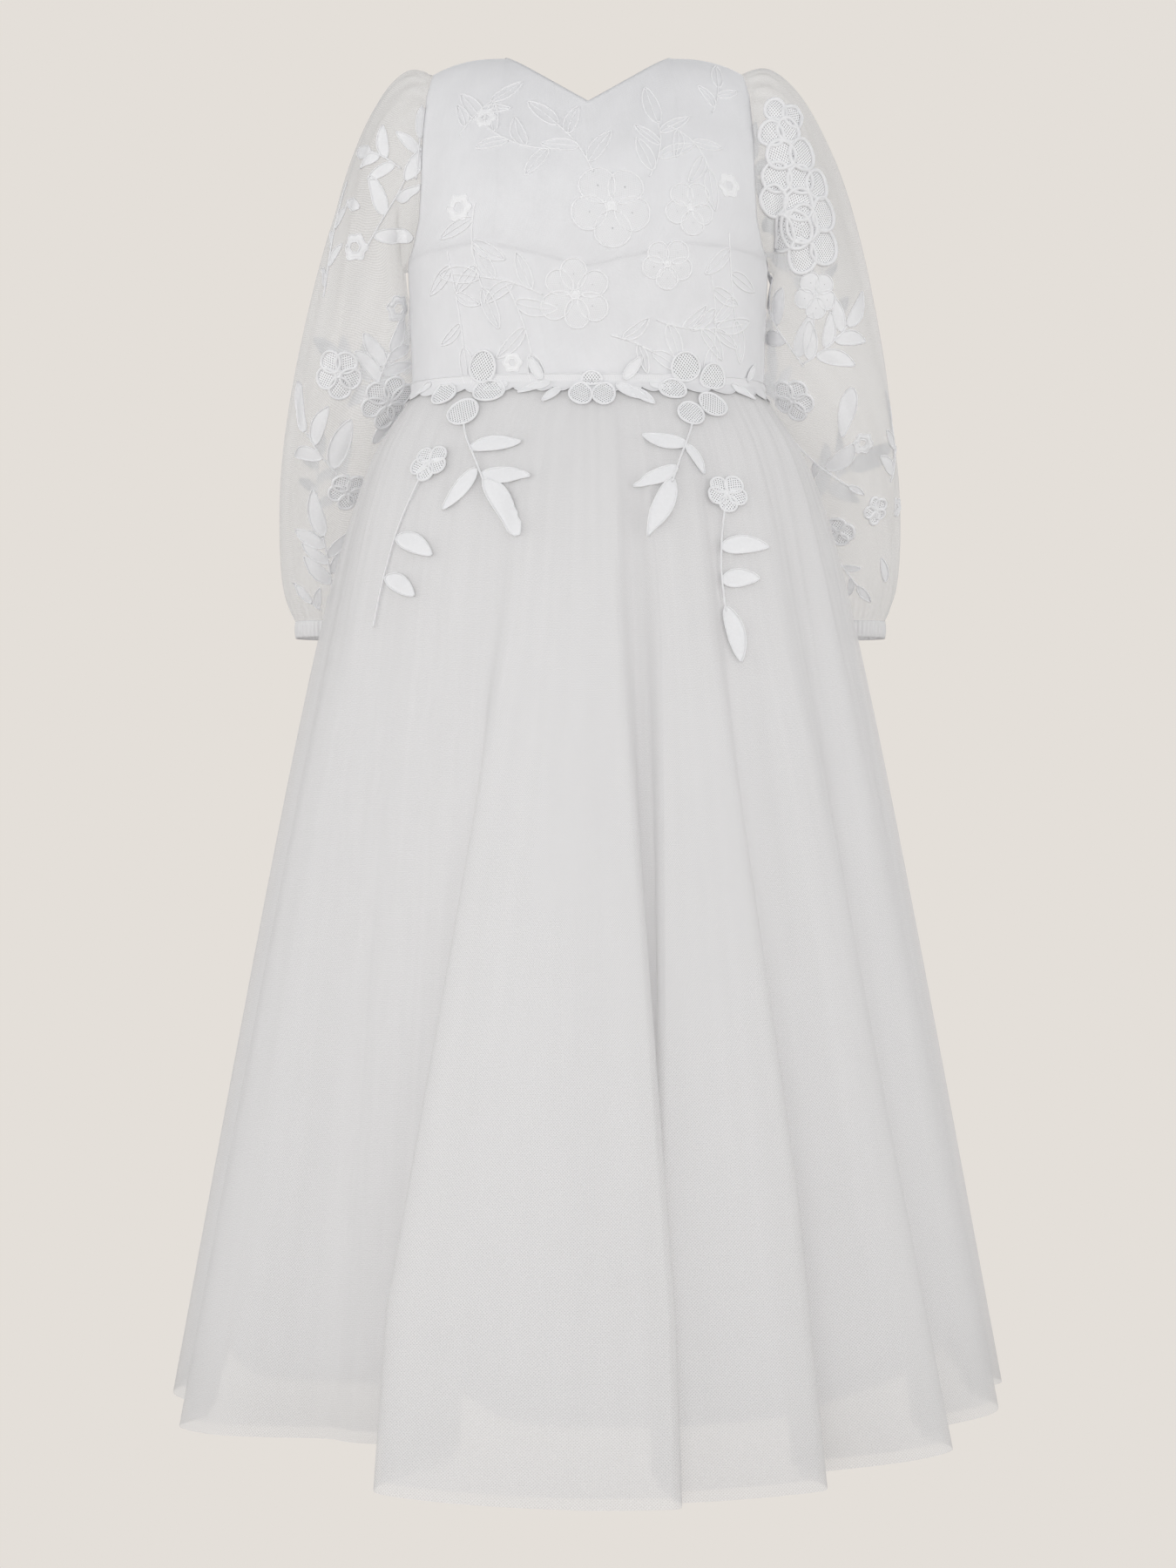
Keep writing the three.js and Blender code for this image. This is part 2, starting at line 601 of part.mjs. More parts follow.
// A flat solid on the skirt's cloth, bent from millimetres across and down from the root and out from the cloth.
function laidOnSkirt(root, flat) {
  const p = flat.getAttribute("position");
  for (let i = 0; i < p.count; i += 1) {
    const share = (root.down - p.getY(i)) / SKIRT_LENGTH;
    const place = (angle, s) => skirtPoint(angle, s, 1);
    const perDegree = place(root.angle - 1, share).distanceTo(place(root.angle + 1, share)) / 2;
    const angle = root.angle + p.getX(i) / perDegree;
    const along = place(angle + 1.5, share).sub(place(angle - 1.5, share));
    const fall = place(angle, share + 0.012).sub(place(angle, share - 0.012));
    const bent = add(place(angle, share), fall.cross(along).normalize(), SPRAY_CLEAR + p.getZ(i));
    p.setXYZ(i, bent.x, bent.y, bent.z);
  }
  return facingOut(flat);
}

const LEAF_STEPS = [[0.18, 0.32], [0.42, 0.5], [0.7, 0.4]]; // share of the length, and of the width

function leafOutline({ across, down, turn, length, width }) {
  const t = degrees(turn);
  const at = (along, side) => [
    across + along * length * Math.sin(t) + side * width * Math.cos(t),
    down + along * length * Math.cos(t) - side * width * Math.sin(t),
  ];
  const right = LEAF_STEPS.map(([along, side]) => at(along, side));
  const left = LEAF_STEPS.map(([along, side]) => at(along, -side)).reverse();
  return [at(-0.04, 0), ...right, at(1, 0), ...left];
}

const FLOWER_CORNERS = 10;

function flowerOutline({ across, down, radius }) {
  return Array.from({ length: FLOWER_CORNERS }, (_, i) => {
    const t = (i / FLOWER_CORNERS) * 2 * Math.PI;
    const reach = i % 2 ? radius : 0.78 * radius;
    return [across + reach * Math.sin(t), down + reach * Math.cos(t)];
  });
}

function stemOutline(points) {
  const side = (offset) => points.map(([across, down]) => [across + offset, down]);
  return [...side(-STEM_WIDTH / 2), ...side(STEM_WIDTH / 2).reverse()];
}

function solidOf(geometry) {
  const bare = new THREE.BufferGeometry();
  bare.setAttribute("position", geometry.getAttribute("position"));
  bare.setIndex(geometry.getIndex());
  const merged = mergeVertices(bare);
  return new wasm.Manifold(
    new wasm.Mesh({
      numProp: 3,
      vertProperties: merged.getAttribute("position").array,
      triVerts: new Uint32Array(merged.getIndex().array),
    }),
  );
}

function joined(geometries) {
  const solid = geometries.map(solidOf).reduce((whole, part) => whole.add(part));
  const mesh = solid.getMesh();
  const geometry = new THREE.BufferGeometry();
  geometry.setAttribute("position", new THREE.BufferAttribute(mesh.vertProperties, 3));
  geometry.setIndex(new THREE.BufferAttribute(mesh.triVerts, 1));
  return geometry;
}

function flatPatch(outline) {
  const shape = new THREE.Shape(outline.map(([across, down]) => new THREE.Vector2(across, -down)));
  return new THREE.ExtrudeGeometry(shape, { depth: LACE, bevelEnabled: false });
}

for (const [name, { root, stem, leaves, flowers }] of Object.entries(SPRAYS)) {
  const outlines = [stemOutline(stem), ...leaves.map(leafOutline), ...flowers.map(flowerOutline)];
  piece(name, laidOnSkirt(root, joined(outlines.map(flatPatch))), MATERIALS.guipure);
}

// ---------------------------------------------------------------- the back fastening
const TAPE_HALF = 11;
const TAPE_CLEAR = 1; // behind the backs' inner face

// The zip's tape lies inside the two backs, row for row with them.
function zipTape() {
  const levels = BODICE_DOWN.map((down) => THREE.MathUtils.lerp(bodiceTop(0, "back"), WAIST_Z + SEAM / 2, down));
  const grid = levels.map((z) => [TAPE_HALF, 0, -TAPE_HALF].map((x) => torsoPoint("back", x, z)));
  const normals = gridNormals(grid, false);
  const placed = grid.map((row, r) => row.map((p, c) => add(p, normals[r][c], -(CLOTH + TAPE_CLEAR))));
  const belowNeck = (rows) => rows.slice(1);
  return wall(belowNeck(placed), belowNeck(normals), TAPE, false);
}
piece("zip_tape", zipTape(), MATERIALS.tape);

// The slider sits on the closed seam just under the neckline, tilted with the bodice's slope. Its own frame has
// y out from the cloth and z up along it.
const SLIDER_Z = -44;
const SLIDER = { width: 5, height: 8, thick: 1.8, clear: 0.5 };
const BAR = { radius: 0.7, height: 3, length: 5 };
const PULL = { eye: 1.1, rim: 2.1, width: 3, thick: 1, length: 18, half: 3.4, droop: 11 };
const slope = torsoPoint("back", 0, SLIDER_Z + 8).sub(torsoPoint("back", 0, SLIDER_Z - 8));
const zipFrame = new THREE.Group();
zipFrame.position.copy(torsoPoint("back", 0, SLIDER_Z));
zipFrame.rotation.x = Math.atan2(-slope.y, slope.z);
dress.add(zipFrame);

const box = (width, depth, height, x, y, z) => new THREE.BoxGeometry(width, depth, height).translate(x, y, z);

function slider() {
  const barY = SLIDER.clear + SLIDER.thick + BAR.height - BAR.radius;
  const body = box(SLIDER.width, SLIDER.thick, SLIDER.height, 0, SLIDER.clear + SLIDER.thick / 2, 0);
  const ear = BAR.length / 2 - 0.3;
  const ears = [-1, 1].map((side) => box(0.7, BAR.height + 0.4, 2, side * ear, barY - BAR.height / 2 + 0.5, 2));
  const bar = new THREE.CylinderGeometry(BAR.radius, BAR.radius, BAR.length, 12);
  bar.rotateZ(Math.PI / 2).translate(0, barY, 2);
  return { geometry: joined([body, ...ears, bar]), barY };
}

// A round eye that turns on the slider's bar, with a drop-shaped plate that hangs from it onto the cloth.
function pull() {
  const ring = new THREE.Shape().absarc(0, 0, PULL.rim, 0, 2 * Math.PI);
  ring.holes.push(new THREE.Path().absarc(0, 0, PULL.eye, 0, 2 * Math.PI, true));
  const eye = new THREE.ExtrudeGeometry(ring, { depth: PULL.width, bevelEnabled: false, curveSegments: 16 });
  eye.translate(0, 0, -PULL.width / 2).rotateY(Math.PI / 2);
  const drop = new THREE.Shape();
  drop.moveTo(-1.2, -PULL.eye - 0.3);
  drop.lineTo(1.2, -PULL.eye - 0.3);
  drop.bezierCurveTo(1.6, -6, PULL.half, -10, PULL.half, -PULL.length + PULL.half);
  drop.absarc(0, -PULL.length + PULL.half, PULL.half, 0, -Math.PI, true);
  drop.bezierCurveTo(-PULL.half, -10, -1.6, -6, -1.2, -PULL.eye - 0.3);
  const plate = new THREE.ExtrudeGeometry(drop, { depth: PULL.thick, bevelEnabled: false, curveSegments: 8 });
  plate.translate(0, 0, -PULL.thick / 2).rotateX(Math.PI / 2);
  return joined([eye, plate]);
}

const { geometry: sliderShape, barY } = slider();
piece("zip_slider", sliderShape, MATERIALS.enamel, zipFrame);
const pullMesh = piece("zip_pull", pull(), MATERIALS.enamel, zipFrame);
pullMesh.position.set(0, barY, 2);
pullMesh.rotation.x = -degrees(PULL.droop);

export default dress;
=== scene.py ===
"""The looks of a child's communion dress: tulle over a satin lining, a corded lace bodice and sheer sleeves.

Sizes are in millimetres until a mesh is made, in the part's frame: +Z up, front towards -Y, the wearer's
left at +X. Angles round the dress start at the wearer's left and go by the back: the front is at 270.
"""

import math
import random
from collections import namedtuple

import bpy
import numpy as np
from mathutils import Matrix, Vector
from mathutils.bvhtree import BVHTree


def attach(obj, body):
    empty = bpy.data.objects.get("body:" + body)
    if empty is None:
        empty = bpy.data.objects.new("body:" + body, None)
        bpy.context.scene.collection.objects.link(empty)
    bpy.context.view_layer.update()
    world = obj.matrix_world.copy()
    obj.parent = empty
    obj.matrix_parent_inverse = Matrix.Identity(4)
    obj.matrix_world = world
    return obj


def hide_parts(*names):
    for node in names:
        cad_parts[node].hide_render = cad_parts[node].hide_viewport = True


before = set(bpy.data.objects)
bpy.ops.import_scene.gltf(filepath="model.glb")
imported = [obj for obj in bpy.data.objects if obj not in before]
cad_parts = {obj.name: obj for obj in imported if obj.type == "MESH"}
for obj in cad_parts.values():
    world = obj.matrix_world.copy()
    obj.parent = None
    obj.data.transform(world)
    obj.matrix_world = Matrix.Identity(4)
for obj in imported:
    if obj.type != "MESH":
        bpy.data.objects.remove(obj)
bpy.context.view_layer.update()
MM = 0.001
FRONT, BACK = -1, 1
SIDES = {"left": 1, "right": -1}
PANELS = {"front": (180, 360), "back_left": (0, 90), "back_right": (90, 180)}

# ---- the dress's own dimensions
TORSO_HEIGHT = 264
WAIST_Z = -264.15
HEM_Z = -1040
UNDERARM_Z = -166
SKIRT_LENGTH = -TORSO_HEIGHT - HEM_Z
SEAM = 0.3
BODICE_THICK = 1.1
NECK_HALF = 65
NECK_DROP = {"front": 46, "back": 24}
SHOULDER_FALL = 12.5
NECK_RISE = 15
SHOULDER_REACH = 120
SHOULDER_ROUND = {"front": 125, "back": 110}
SQUARE = 2.5
LEAN_START = 0.22
ROW_SPREAD = 1.15
LACE_LIFT = 0.4
CUFF_HEIGHT = 14
SWING = 4


def table(columns, *rows):
    """Rows of values under the column names."""
    row_of = namedtuple("Row", columns)
    return [row_of(*row) for row in rows]


TORSO = table(
    "down half_width front back",
    (0, 146, 60, 60), (46, 144, 70, 72), (100, 142, 87, 88), (150, 141, 94, 90), (200, 139, 89, 84),
    (264, 137, 78, 78),
)
ARMHOLE = table(
    "down reach", (12, 120), (35, 125), (70, 127.5), (105, 128), (135, 129.5), (155, 134.5), (166, 141)
)
SKIRT = table(
    "share half_width half_depth mid_y square",
    (0, 137, 78, 0, 2.5), (0.02, 146, 90, -0.5, 2.45), (0.055, 162, 108, -2, 2.3),
    (0.11, 178, 131, -5, 2.15), (0.2, 195.5, 154, -10, 2), (0.37, 219, 186, -18, 2),
    (0.65, 252, 236, -29, 2), (1, 291.5, 288, -40, 2),
)
# lean is how far a fold's crest is pushed along the hem, rise and fall the shares of its width that its
# flanks take, spread how much further its edges part, and full the share of the length by which they have.
PLAIN_FOLD = (0.5, 0.5, 0, 1)
FOLDS = table(
    "start end out lean rise fall spread full",
    (-15, 10, 24, -6, *PLAIN_FOLD), (10, 37, 40, 22, *PLAIN_FOLD), (37, 63, 46, 20, *PLAIN_FOLD),
    (63, 90, 38, -14, 0.4, 0.4, 10, 1), (90, 117, 44, 18, *PLAIN_FOLD), (117, 146, 40, -24, *PLAIN_FOLD),
    (146, 172, 34, -18, *PLAIN_FOLD), (172, 194, 25, 2, *PLAIN_FOLD), (194, 222, 32, -22, 0.4, 0.4, 0, 1),
    (222, 249, 10, -4, 0.35, 0.35, 0, 1), (249, 279.5, 66, -21, 0.22, 0.12, 56, 0.85),
    (279.5, 281.5, 0, 0, *PLAIN_FOLD), (281.5, 300, 46, 2, 0.16, 0.3, 38, 0.75),
    (300, 325, 42, 36, *PLAIN_FOLD), (325, 345, 28, 22, *PLAIN_FOLD),
)
HEM = table(
    "at rise hollow",
    (-90, 0, 0), (-60, 0, 0), (-48, 8, 0), (-34, 12, 0), (-16, 22, 0), (4, 18, 0), (90, 6, 0),
    (180, 12, 0), (204, 4, 6), (225, 8, 42), (243, 10, 52), (257, 4, 2), (270, 0, 0),
)
SLEEVE = table(
    "out_x out_z in_x in_z mid_y half_y",
    (141, -11, 144, -169, 4, 46), (165, -33, 142, -178, 12, 52), (187, -77, 139, -194, 20, 54),
    (205.5, -131, 135.8, -216, 30, 52), (223.5, -196, 132.5, -250, 42, 49),
    (238, -258, 155, -290, 58, 46), (248, -314, 171, -332, 84, 43), (251.5, -366, 179, -374, 108, 39),
    (249.5, -406, 184, -408, 124, 34), (241, -432, 190, -432, 134, 27),
)


# ---- curves and grids
def curve_weights(s):
    """How much a smooth curve takes from its start, the slope there, its end and the slope there."""
    return 2 * s**3 - 3 * s**2 + 1, s**3 - 2 * s**2 + s, 3 * s**2 - 2 * s**3, s**3 - s**2


def curve(x, y, value):
    """The smooth curve through the values y at x, which may be whole rings of points."""
    deeper = (1,) * (y.ndim - 1)
    before = np.maximum(np.arange(len(x)) - 1, 0)
    after = np.minimum(np.arange(len(x)) + 1, len(x) - 1)
    slope = (y[after] - y[before]) / (x[after] - x[before]).reshape(-1, *deeper)
    i = np.clip(np.searchsorted(x, value) - 1, 0, len(x) - 2)
    span = x[i + 1] - x[i]
    weights = curve_weights(np.clip((value - x[i]) / span, 0, 1))
    start, start_slope, end, end_slope, span = (np.reshape(w, np.shape(w) + deeper) for w in (*weights, span))
    return start * y[i] + start_slope * span * slope[i] + end * y[i + 1] + end_slope * span * slope[i + 1]


def columns_of(rows, *names):
    return (np.array([getattr(row, name) for row in rows], float) for name in names)


def smooth(rows, key, column, value):
    """The table's column at value, curved through its rows."""
    return curve(*columns_of(rows, key, column), value)


def curved_through(rings, steps):
    """A smooth curve through the rings, with so many steps from one to the next."""
    last = len(rings) - 1
    return curve(np.arange(last + 1), rings, np.arange(last * steps + 1) / steps)


def smoothstep(low, high, value):
    t = np.clip((value - low) / (high - low), 0, 1)
    return t * t * (3 - 2 * t)


def ridge(off, width):
    """The height of a soft ridge, which is 1 in its middle."""
    return np.exp(-((off / width) ** 2))


def evenly_round(count):
    """So many angles in radians, evenly round a circle."""
    return np.arange(count) * 2 * math.pi / count


def unit(v):
    return v / np.maximum(np.linalg.norm(v, axis=-1, keepdims=True), 1e-9)


def grid_normals(grid, loop=False):
    """The outward direction at each point of a grid of rows, which run anticlockwise seen from above."""
    along = np.roll(grid, -1, 1) - np.roll(grid, 1, 1) if loop else np.gradient(grid, axis=1)
    return unit(np.cross(np.gradient(grid, axis=0), along))


def round_box(angle, square):
    """The cosine, the sine and the reach of a round box of half size 1, a circle where square is 2."""
    cos, sin = np.cos(np.radians(angle)), np.sin(np.radians(angle))
    return cos, sin, (np.abs(cos) ** square + np.abs(sin) ** square) ** (-1 / square)


# ---- the bodice's form
def shoulder_z(x):
    """The shoulder line, which rounds down from the neckline's end to the armhole."""
    past = np.abs(x) - NECK_HALF
    outside = -SHOULDER_FALL * (np.maximum(past, 0) / (SHOULDER_REACH - NECK_HALF)) ** 2.5
    return np.where(past > 0, outside, NECK_RISE * (past / NECK_HALF) ** 2)


def torso_section(z, face):
    down = np.clip(-z, 0, TORSO_HEIGHT)
    return smooth(TORSO, "down", "half_width", down), smooth(TORSO, "down", face, down)


def torso_point(face, x, z):
    half_width, depth = torso_section(z, face)
    bulge = np.maximum(0, 1 - np.abs(x / half_width) ** SQUARE) ** (1 / SQUARE)
    below = np.clip((shoulder_z(x) - z) / SHOULDER_ROUND[face], 0, 1)
    y = SEAM / 2 + depth * bulge * np.sqrt(1 - (1 - below) ** 2)
    return np.stack([x, -y if face == "front" else y, z], -1)


def bodice_reach(z, face):
    armhole = np.interp(-z, *columns_of(ARMHOLE, "down", "reach"))
    return np.where(z > UNDERARM_Z, armhole, torso_section(z, face)[0])


def bodice_top(share, face):
    """The height of the bodice's upper edge, at shares of the shoulder's reach."""
    in_neck = np.clip(share * SHOULDER_REACH / NECK_HALF, 0, 1)
    drop = 1 - in_neck if face == "front" else 1 - in_neck**2
    return np.where(in_neck >= 1, shoulder_z(share * SHOULDER_REACH), -NECK_DROP[face] * drop)


def bodice_grid(face, shares):
    """Points of a bodice panel. Shares run across its half width, negative ones to the wearer's right."""
    share, down = np.meshgrid(shares, np.linspace(0, 1, 90))
    top = bodice_top(np.abs(share), face)
    z = top + (WAIST_Z + SEAM - top) * down
    return torso_point(face, share * bodice_reach(z, face), z)


# ---- the sleeves' form
def sleeve_rings(side, turns):
    """The sleeve's rings at the given turns, from the armhole's edge to the cuff. Turn 0 is outermost."""
    top = shoulder_z(SHOULDER_REACH)
    z = top + (UNDERARM_Z - top) * (1 - np.cos(turns)) / 2
    front, back = (torso_point(face, bodice_reach(z, face), z) for face in ("front", "back"))
    rings = [np.where((np.sin(turns) < 0)[:, None], front, back) + [0.5, 0, 0]]
    for row in SLEEVE:
        outer = np.array([row.out_x, row.mid_y, row.out_z])
        inner = np.array([row.in_x, row.mid_y, row.in_z])
        middle = (outer + inner) / 2
        ring = middle + np.cos(turns)[:, None] * (outer - middle)
        ring[:, 1] += row.half_y * np.sin(turns)
        if side > 0:
            ring[:, 0] += SWING * middle[2] / SLEEVE[-1].out_z
        rings.append(ring)
    return np.array(rings) * [side, 1, 1]


# ---- creases
def creases(seed, count, width, height, start, end, sunk=0.33):
    """Soft ridges, uneven in place, width, height, drift and length, of which a share is sunk."""
    rng = random.Random(seed)
    rows = []
    for i in range(count):
        at = (i + rng.uniform(-0.4, 0.4)) * 360 / count - 15
        size = (rng.uniform(*width), rng.uniform(*height) * (-0.7 if rng.random() < sunk else 1))
        rows.append((at, *size, rng.uniform(-3, 3), rng.uniform(*start), rng.uniform(*end)))
    return table("at width height drift start end", *rows)


def crease_height(rows, angle, share):
    """How far the creases push a cloth out, at angles in degrees and shares of its length."""
    total = np.zeros(np.broadcast(angle, share).shape)
    for row in rows:
        off = (angle - row.at - row.drift * share + 180) % 360 - 180
        ramp = smoothstep(row.start, row.start + 0.06, share)
        fade = 1 - smoothstep(row.end * 0.4, row.end, share)
        total += row.height * ridge(off, row.width) * ramp * fade
    return total


GATHERS = creases("gathers", 84, (0.9, 2.1), (0.4, 1.8), (-0.02, 0.01), (0.1, 0.45), sunk=0.1)
DRAPES = creases("drapes", 26, (2, 4.6), (1.4, 4.6), (0.05, 0.4), (0.8, 2.4))
UNDER_DRAPES = creases("under drapes", 22, (2, 4), (0.5, 1.4), (0.05, 0.5), (0.7, 2.4), sunk=0.5)
LINING_DRAPES = creases("lining drapes", 26, (3, 7), (2, 5), (0.05, 0.3), (0.9, 2.5), sunk=0.5)


# ---- the skirt's form
def hem_at(angle, column):
    return smooth(HEM, "at", column, (angle + 90) % 360 - 90)


def skirt_point(angle, share, folded=1, length=1, drapes=()):
    """Points on the skirt at angles in degrees and shares of the way down. folded is 0 on the lining."""
    angle, share = np.broadcast_arrays(np.asarray(angle, float), np.asarray(share, float))
    turned = (angle + 15) % 360 - 15
    which = np.searchsorted([fold.start for fold in FOLDS], turned, side="right") - 1
    fold = FOLDS[0]._make(column[which] for column in np.array(FOLDS, float).T)
    across = (turned - fold.start) / (fold.end - fold.start)
    flank = np.minimum(across / fold.rise, (1 - across) / fold.fall)
    crest = folded * np.sin(np.clip(flank, 0, 1) * math.pi / 2) ** 2
    section = SKIRT[0]._fields[1:]
    half_width, half_depth, mid_y, square = (smooth(SKIRT, "share", name, share * length) for name in section)
    cos, sin, reach = round_box(angle, square)
    outward = unit(np.stack([half_depth * cos, half_width * sin], -1))
    late = np.clip((share - LEAN_START) / (1 - LEAN_START), 0, 1)
    leaned = np.clip((share - LEAN_START) / (fold.full - LEAN_START), 0, 1)
    eased = leaned * leaned * 1.08 / (leaned + 0.08)
    out = fold.out * crest * share - hem_at(angle, "hollow") * late + crease_height(drapes, angle, share)
    along = (fold.lean + fold.spread * (2 * across - 1)) * crest * eased
    x = reach * half_width * cos + outward[..., 0] * out - outward[..., 1] * along
    y = mid_y + reach * half_depth * sin + outward[..., 1] * out + outward[..., 0] * along
    drop = (SKIRT_LENGTH - hem_at(angle, "rise")) * length * share
    return np.stack([x, y, WAIST_Z - drop], -1)


def skirt_cover(angle, share):
    """The skirt's form with its creases bridged, which is where lace lies on it."""
    nearby = [crease_height(GATHERS + DRAPES, angle + off, share) for off in range(-4, 5)]
    bridge = np.log(np.mean(np.exp(nearby), axis=0))
    form = skirt_point(angle, share)
    return form + grid_normals(form) * (bridge[..., None] + LACE_LIFT)


def above_waist(angle, down):
    """The bodice's form near the waist at angles round it. down is negative above the seam."""
    cos, sin, reach = round_box(angle, SQUARE)
    z = WAIST_Z - down
    half_width, front = torso_section(z, "front")
    depth = np.where(sin < 0, front, torso_section(z, "back")[1])
    return np.stack([reach * half_width * cos, reach * depth * sin, z], -1)


def waist_form():
    """One form over the waist seam, from the bodice's lower edge to the skirt's upper third."""
    angles = np.linspace(-90, 270, 361)
    upper = above_waist(*np.meshgrid(angles, np.linspace(-50, -2, 13)))
    upper += grid_normals(upper) * LACE_LIFT
    lower = skirt_cover(*np.meshgrid(angles, np.linspace(0.006, 0.34, 90)))
    return np.concatenate([upper, lower])


# ---- materials
NOISE_MIDDLE = (0.3, 0.7)
NET_SLANT = 0.8
NET_CLOUD = 0.02
FORWARD_SCATTER = 0.12


class Shader:
    """A material's or a world's node tree, with short ways to add nodes and wire them."""

    def __init__(self, name, kind="Material"):
        self.kind = kind
        self.block = (bpy.data.worlds if kind == "World" else bpy.data.materials).new(name)
        self.block.use_nodes = True
        self.tree = self.block.node_tree
        self.tree.nodes.clear()

    def add(self, kind, inputs=(), output=0, **settings):
        """A node's output socket. Its inputs are given by name or by number."""
        node = self.tree.nodes.new("ShaderNode" + kind)
        for name, value in settings.items():
            setattr(node, name, value)
        for key, value in dict(inputs).items():
            if isinstance(value, bpy.types.NodeSocket):
                self.tree.links.new(value, node.inputs[key])
            else:
                node.inputs[key].default_value = value
        return node.outputs[output]

    def math(self, operation, a, b):
        return self.add("Math", enumerate((a, b)), operation=operation)

    def plus(self, *values):
        total = values[0]
        for value in values[1:]:
            total = self.math("ADD", total, value)
        return total

    def times(self, a, b):
        return self.math("MULTIPLY", a, b)

    def fit(self, value, low, high, to_low=0, to_high=1):
        """value from the range low..high brought to the range to_low..to_high."""
        inputs = enumerate((value, low, high, to_low, to_high))
        return self.add("MapRange", inputs, interpolation_type="SMOOTHSTEP")

    def stretch(self, noise, to_low=0, to_high=1):
        return self.fit(noise, *NOISE_MIDDLE, to_low, to_high)

    def mix(self, share, a, b):
        return self.add("MixShader", enumerate((share, a, b)))

    def tint(self, share, dim, colour):
        """The colour where share is 1, and dim times as bright where it is 0."""
        inputs = {0: share, 6: [c * dim for c in colour] + [1], 7: [*colour, 1]}
        return self.add("Mix", inputs, output=2, data_type="RGBA")

    def on_cloth(self, operation, across, along, output):
        """The place on the flat cloth, in millimetres across and along it, put together with two numbers."""
        inputs = {0: self.add("UVMap"), 1: (across, along, 0)}
        return self.add("VectorMath", inputs, output, operation=operation)

    def noise(self, across, along, detail=2.0, rough=0.5):
        """Soft noise whose spots are so many millimetres across and along the cloth."""
        where = self.on_cloth("MULTIPLY", 1 / across, 1 / along, output=0)
        return self.add("TexNoise", {"Vector": where, "Scale": 1.0, "Detail": detail, "Roughness": rough})

    def lines(self, across, along, pitch):
        """Ridges from 0 to 1, one to each pitch, over the cloth's width and length times across and along."""
        place = self.on_cloth("DOT_PRODUCT", 2 * across / pitch, 2 * along / pitch, output=1)
        return self.math("PINGPONG", place, 1.0)

    def net(self, pitch, low, high):
        """A diagonal net's threads as 1 and its holes as 0."""
        threads = self.math("MAXIMUM", self.lines(1, NET_SLANT, pitch), self.lines(1, -NET_SLANT, pitch))
        return self.fit(threads, low, high)

    def skin(self, colour, roughness, height, depth, strength, **others):
        """A Principled surface with a bump so many millimetres deep. others has _ for spaces in names."""
        inputs = {name.replace("_", " "): value for name, value in others.items()}
        inputs["Base Color"] = colour
        inputs["Roughness"] = roughness
        inputs["Normal"] = self.add("Bump", {"Height": height, "Distance": depth * MM, "Strength": strength})
        return self.add("BsdfPrincipled", inputs)

    def ray(self, kind):
        return self.add("LightPath", output=f"Is {kind} Ray")

    def finish(self, surface):
        output = self.tree.nodes.new("ShaderNodeOutput" + self.kind)
        self.tree.links.new(surface, output.inputs["Surface"])
        return self.block


def sheer(name, colour, cover, shadow=0.5, net_pitch=1.7, net_share=0.07):
    """A see-through net: cover is how much of what is behind it one layer hides.

    Light that the net scatters forwards reaches what is behind it, so shadow is the share of its cover that
    stops light.
    """
    s = Shader(name)
    grain = s.noise(0.9, 0.9, detail=1)
    streaks = s.stretch(s.noise(24, 500, detail=1), -NET_CLOUD, NET_CLOUD)
    patches = s.stretch(s.noise(70, 150), -NET_CLOUD, NET_CLOUD)
    threads = s.fit(s.net(net_pitch, 0.35, 0.8), 0, 1, -net_share, net_share)
    hides = s.plus(streaks, patches, threads, s.stretch(grain, -0.05, 0.05), cover)
    colours = s.tint(s.stretch(grain), 0.975, colour)
    gloss = {"Specular_IOR_Level": 0.25, "Sheen_Weight": 0.15, "Sheen_Roughness": 0.5}
    cloth = s.skin(colours, 0.85, grain, 0.25, 0.35, **gloss)
    body = s.mix(FORWARD_SCATTER, cloth, s.add("BsdfTranslucent", {"Color": [*colour, 1]}))
    light = s.math("MAXIMUM", s.ray("Shadow"), s.ray("Diffuse"))
    stops = s.times(hides, s.fit(light, 0, 1, 1, shadow))
    return s.finish(s.mix(stops, s.add("BsdfTransparent"), body))


def satin(name, colour, roughness=0.5):
    """Smooth woven satin with a faint warp and a soft sheen."""
    s = Shader(name)
    slub = s.noise(1.2, 30)
    colours = s.tint(s.stretch(s.noise(40, 60)), 0.975, colour)
    rough = s.stretch(slub, roughness - 0.06, roughness + 0.06)
    height = s.plus(s.lines(1, 0, 0.5), s.times(slub, 1.5))
    return s.finish(s.skin(colours, rough, height, 0.06, 0.5, Specular_IOR_Level=0.4, Sheen_Weight=0.2))


def veiled_satin(name, colour):
    """White satin under a fine net, which blurs it with faint clouds, slubs and a diamond mesh."""
    s = Shader(name)
    slub = s.noise(2.5, 22, detail=3, rough=0.6)
    haze = s.plus(s.times(s.noise(26, 34, detail=3), 0.7), s.times(slub, 0.3))
    colours = s.tint(s.fit(haze, 0.35, 0.65), 0.965, colour)
    height = s.plus(s.net(1.5, 0.3, 0.85), s.times(slub, 2.0))
    return s.finish(s.skin(colours, 0.7, height, 0.12, 0.5, Specular_IOR_Level=0.3, Sheen_Weight=0.25))


def stitched(name, colour, pitch=0.9, depth=0.22, roughness=0.45):
    """Satin stitch: threads side by side across a leaf, slanted towards its vein."""
    s = Shader(name)
    wear = s.noise(3, 3)
    colours = s.tint(s.stretch(wear), 0.97, colour)
    height = s.plus(s.times(s.lines(0.35, 1, pitch), 0.8), s.times(wear, 0.4))
    return s.finish(s.skin(colours, roughness, height, depth, 0.8, Specular_IOR_Level=0.45, Sheen_Weight=0.3))


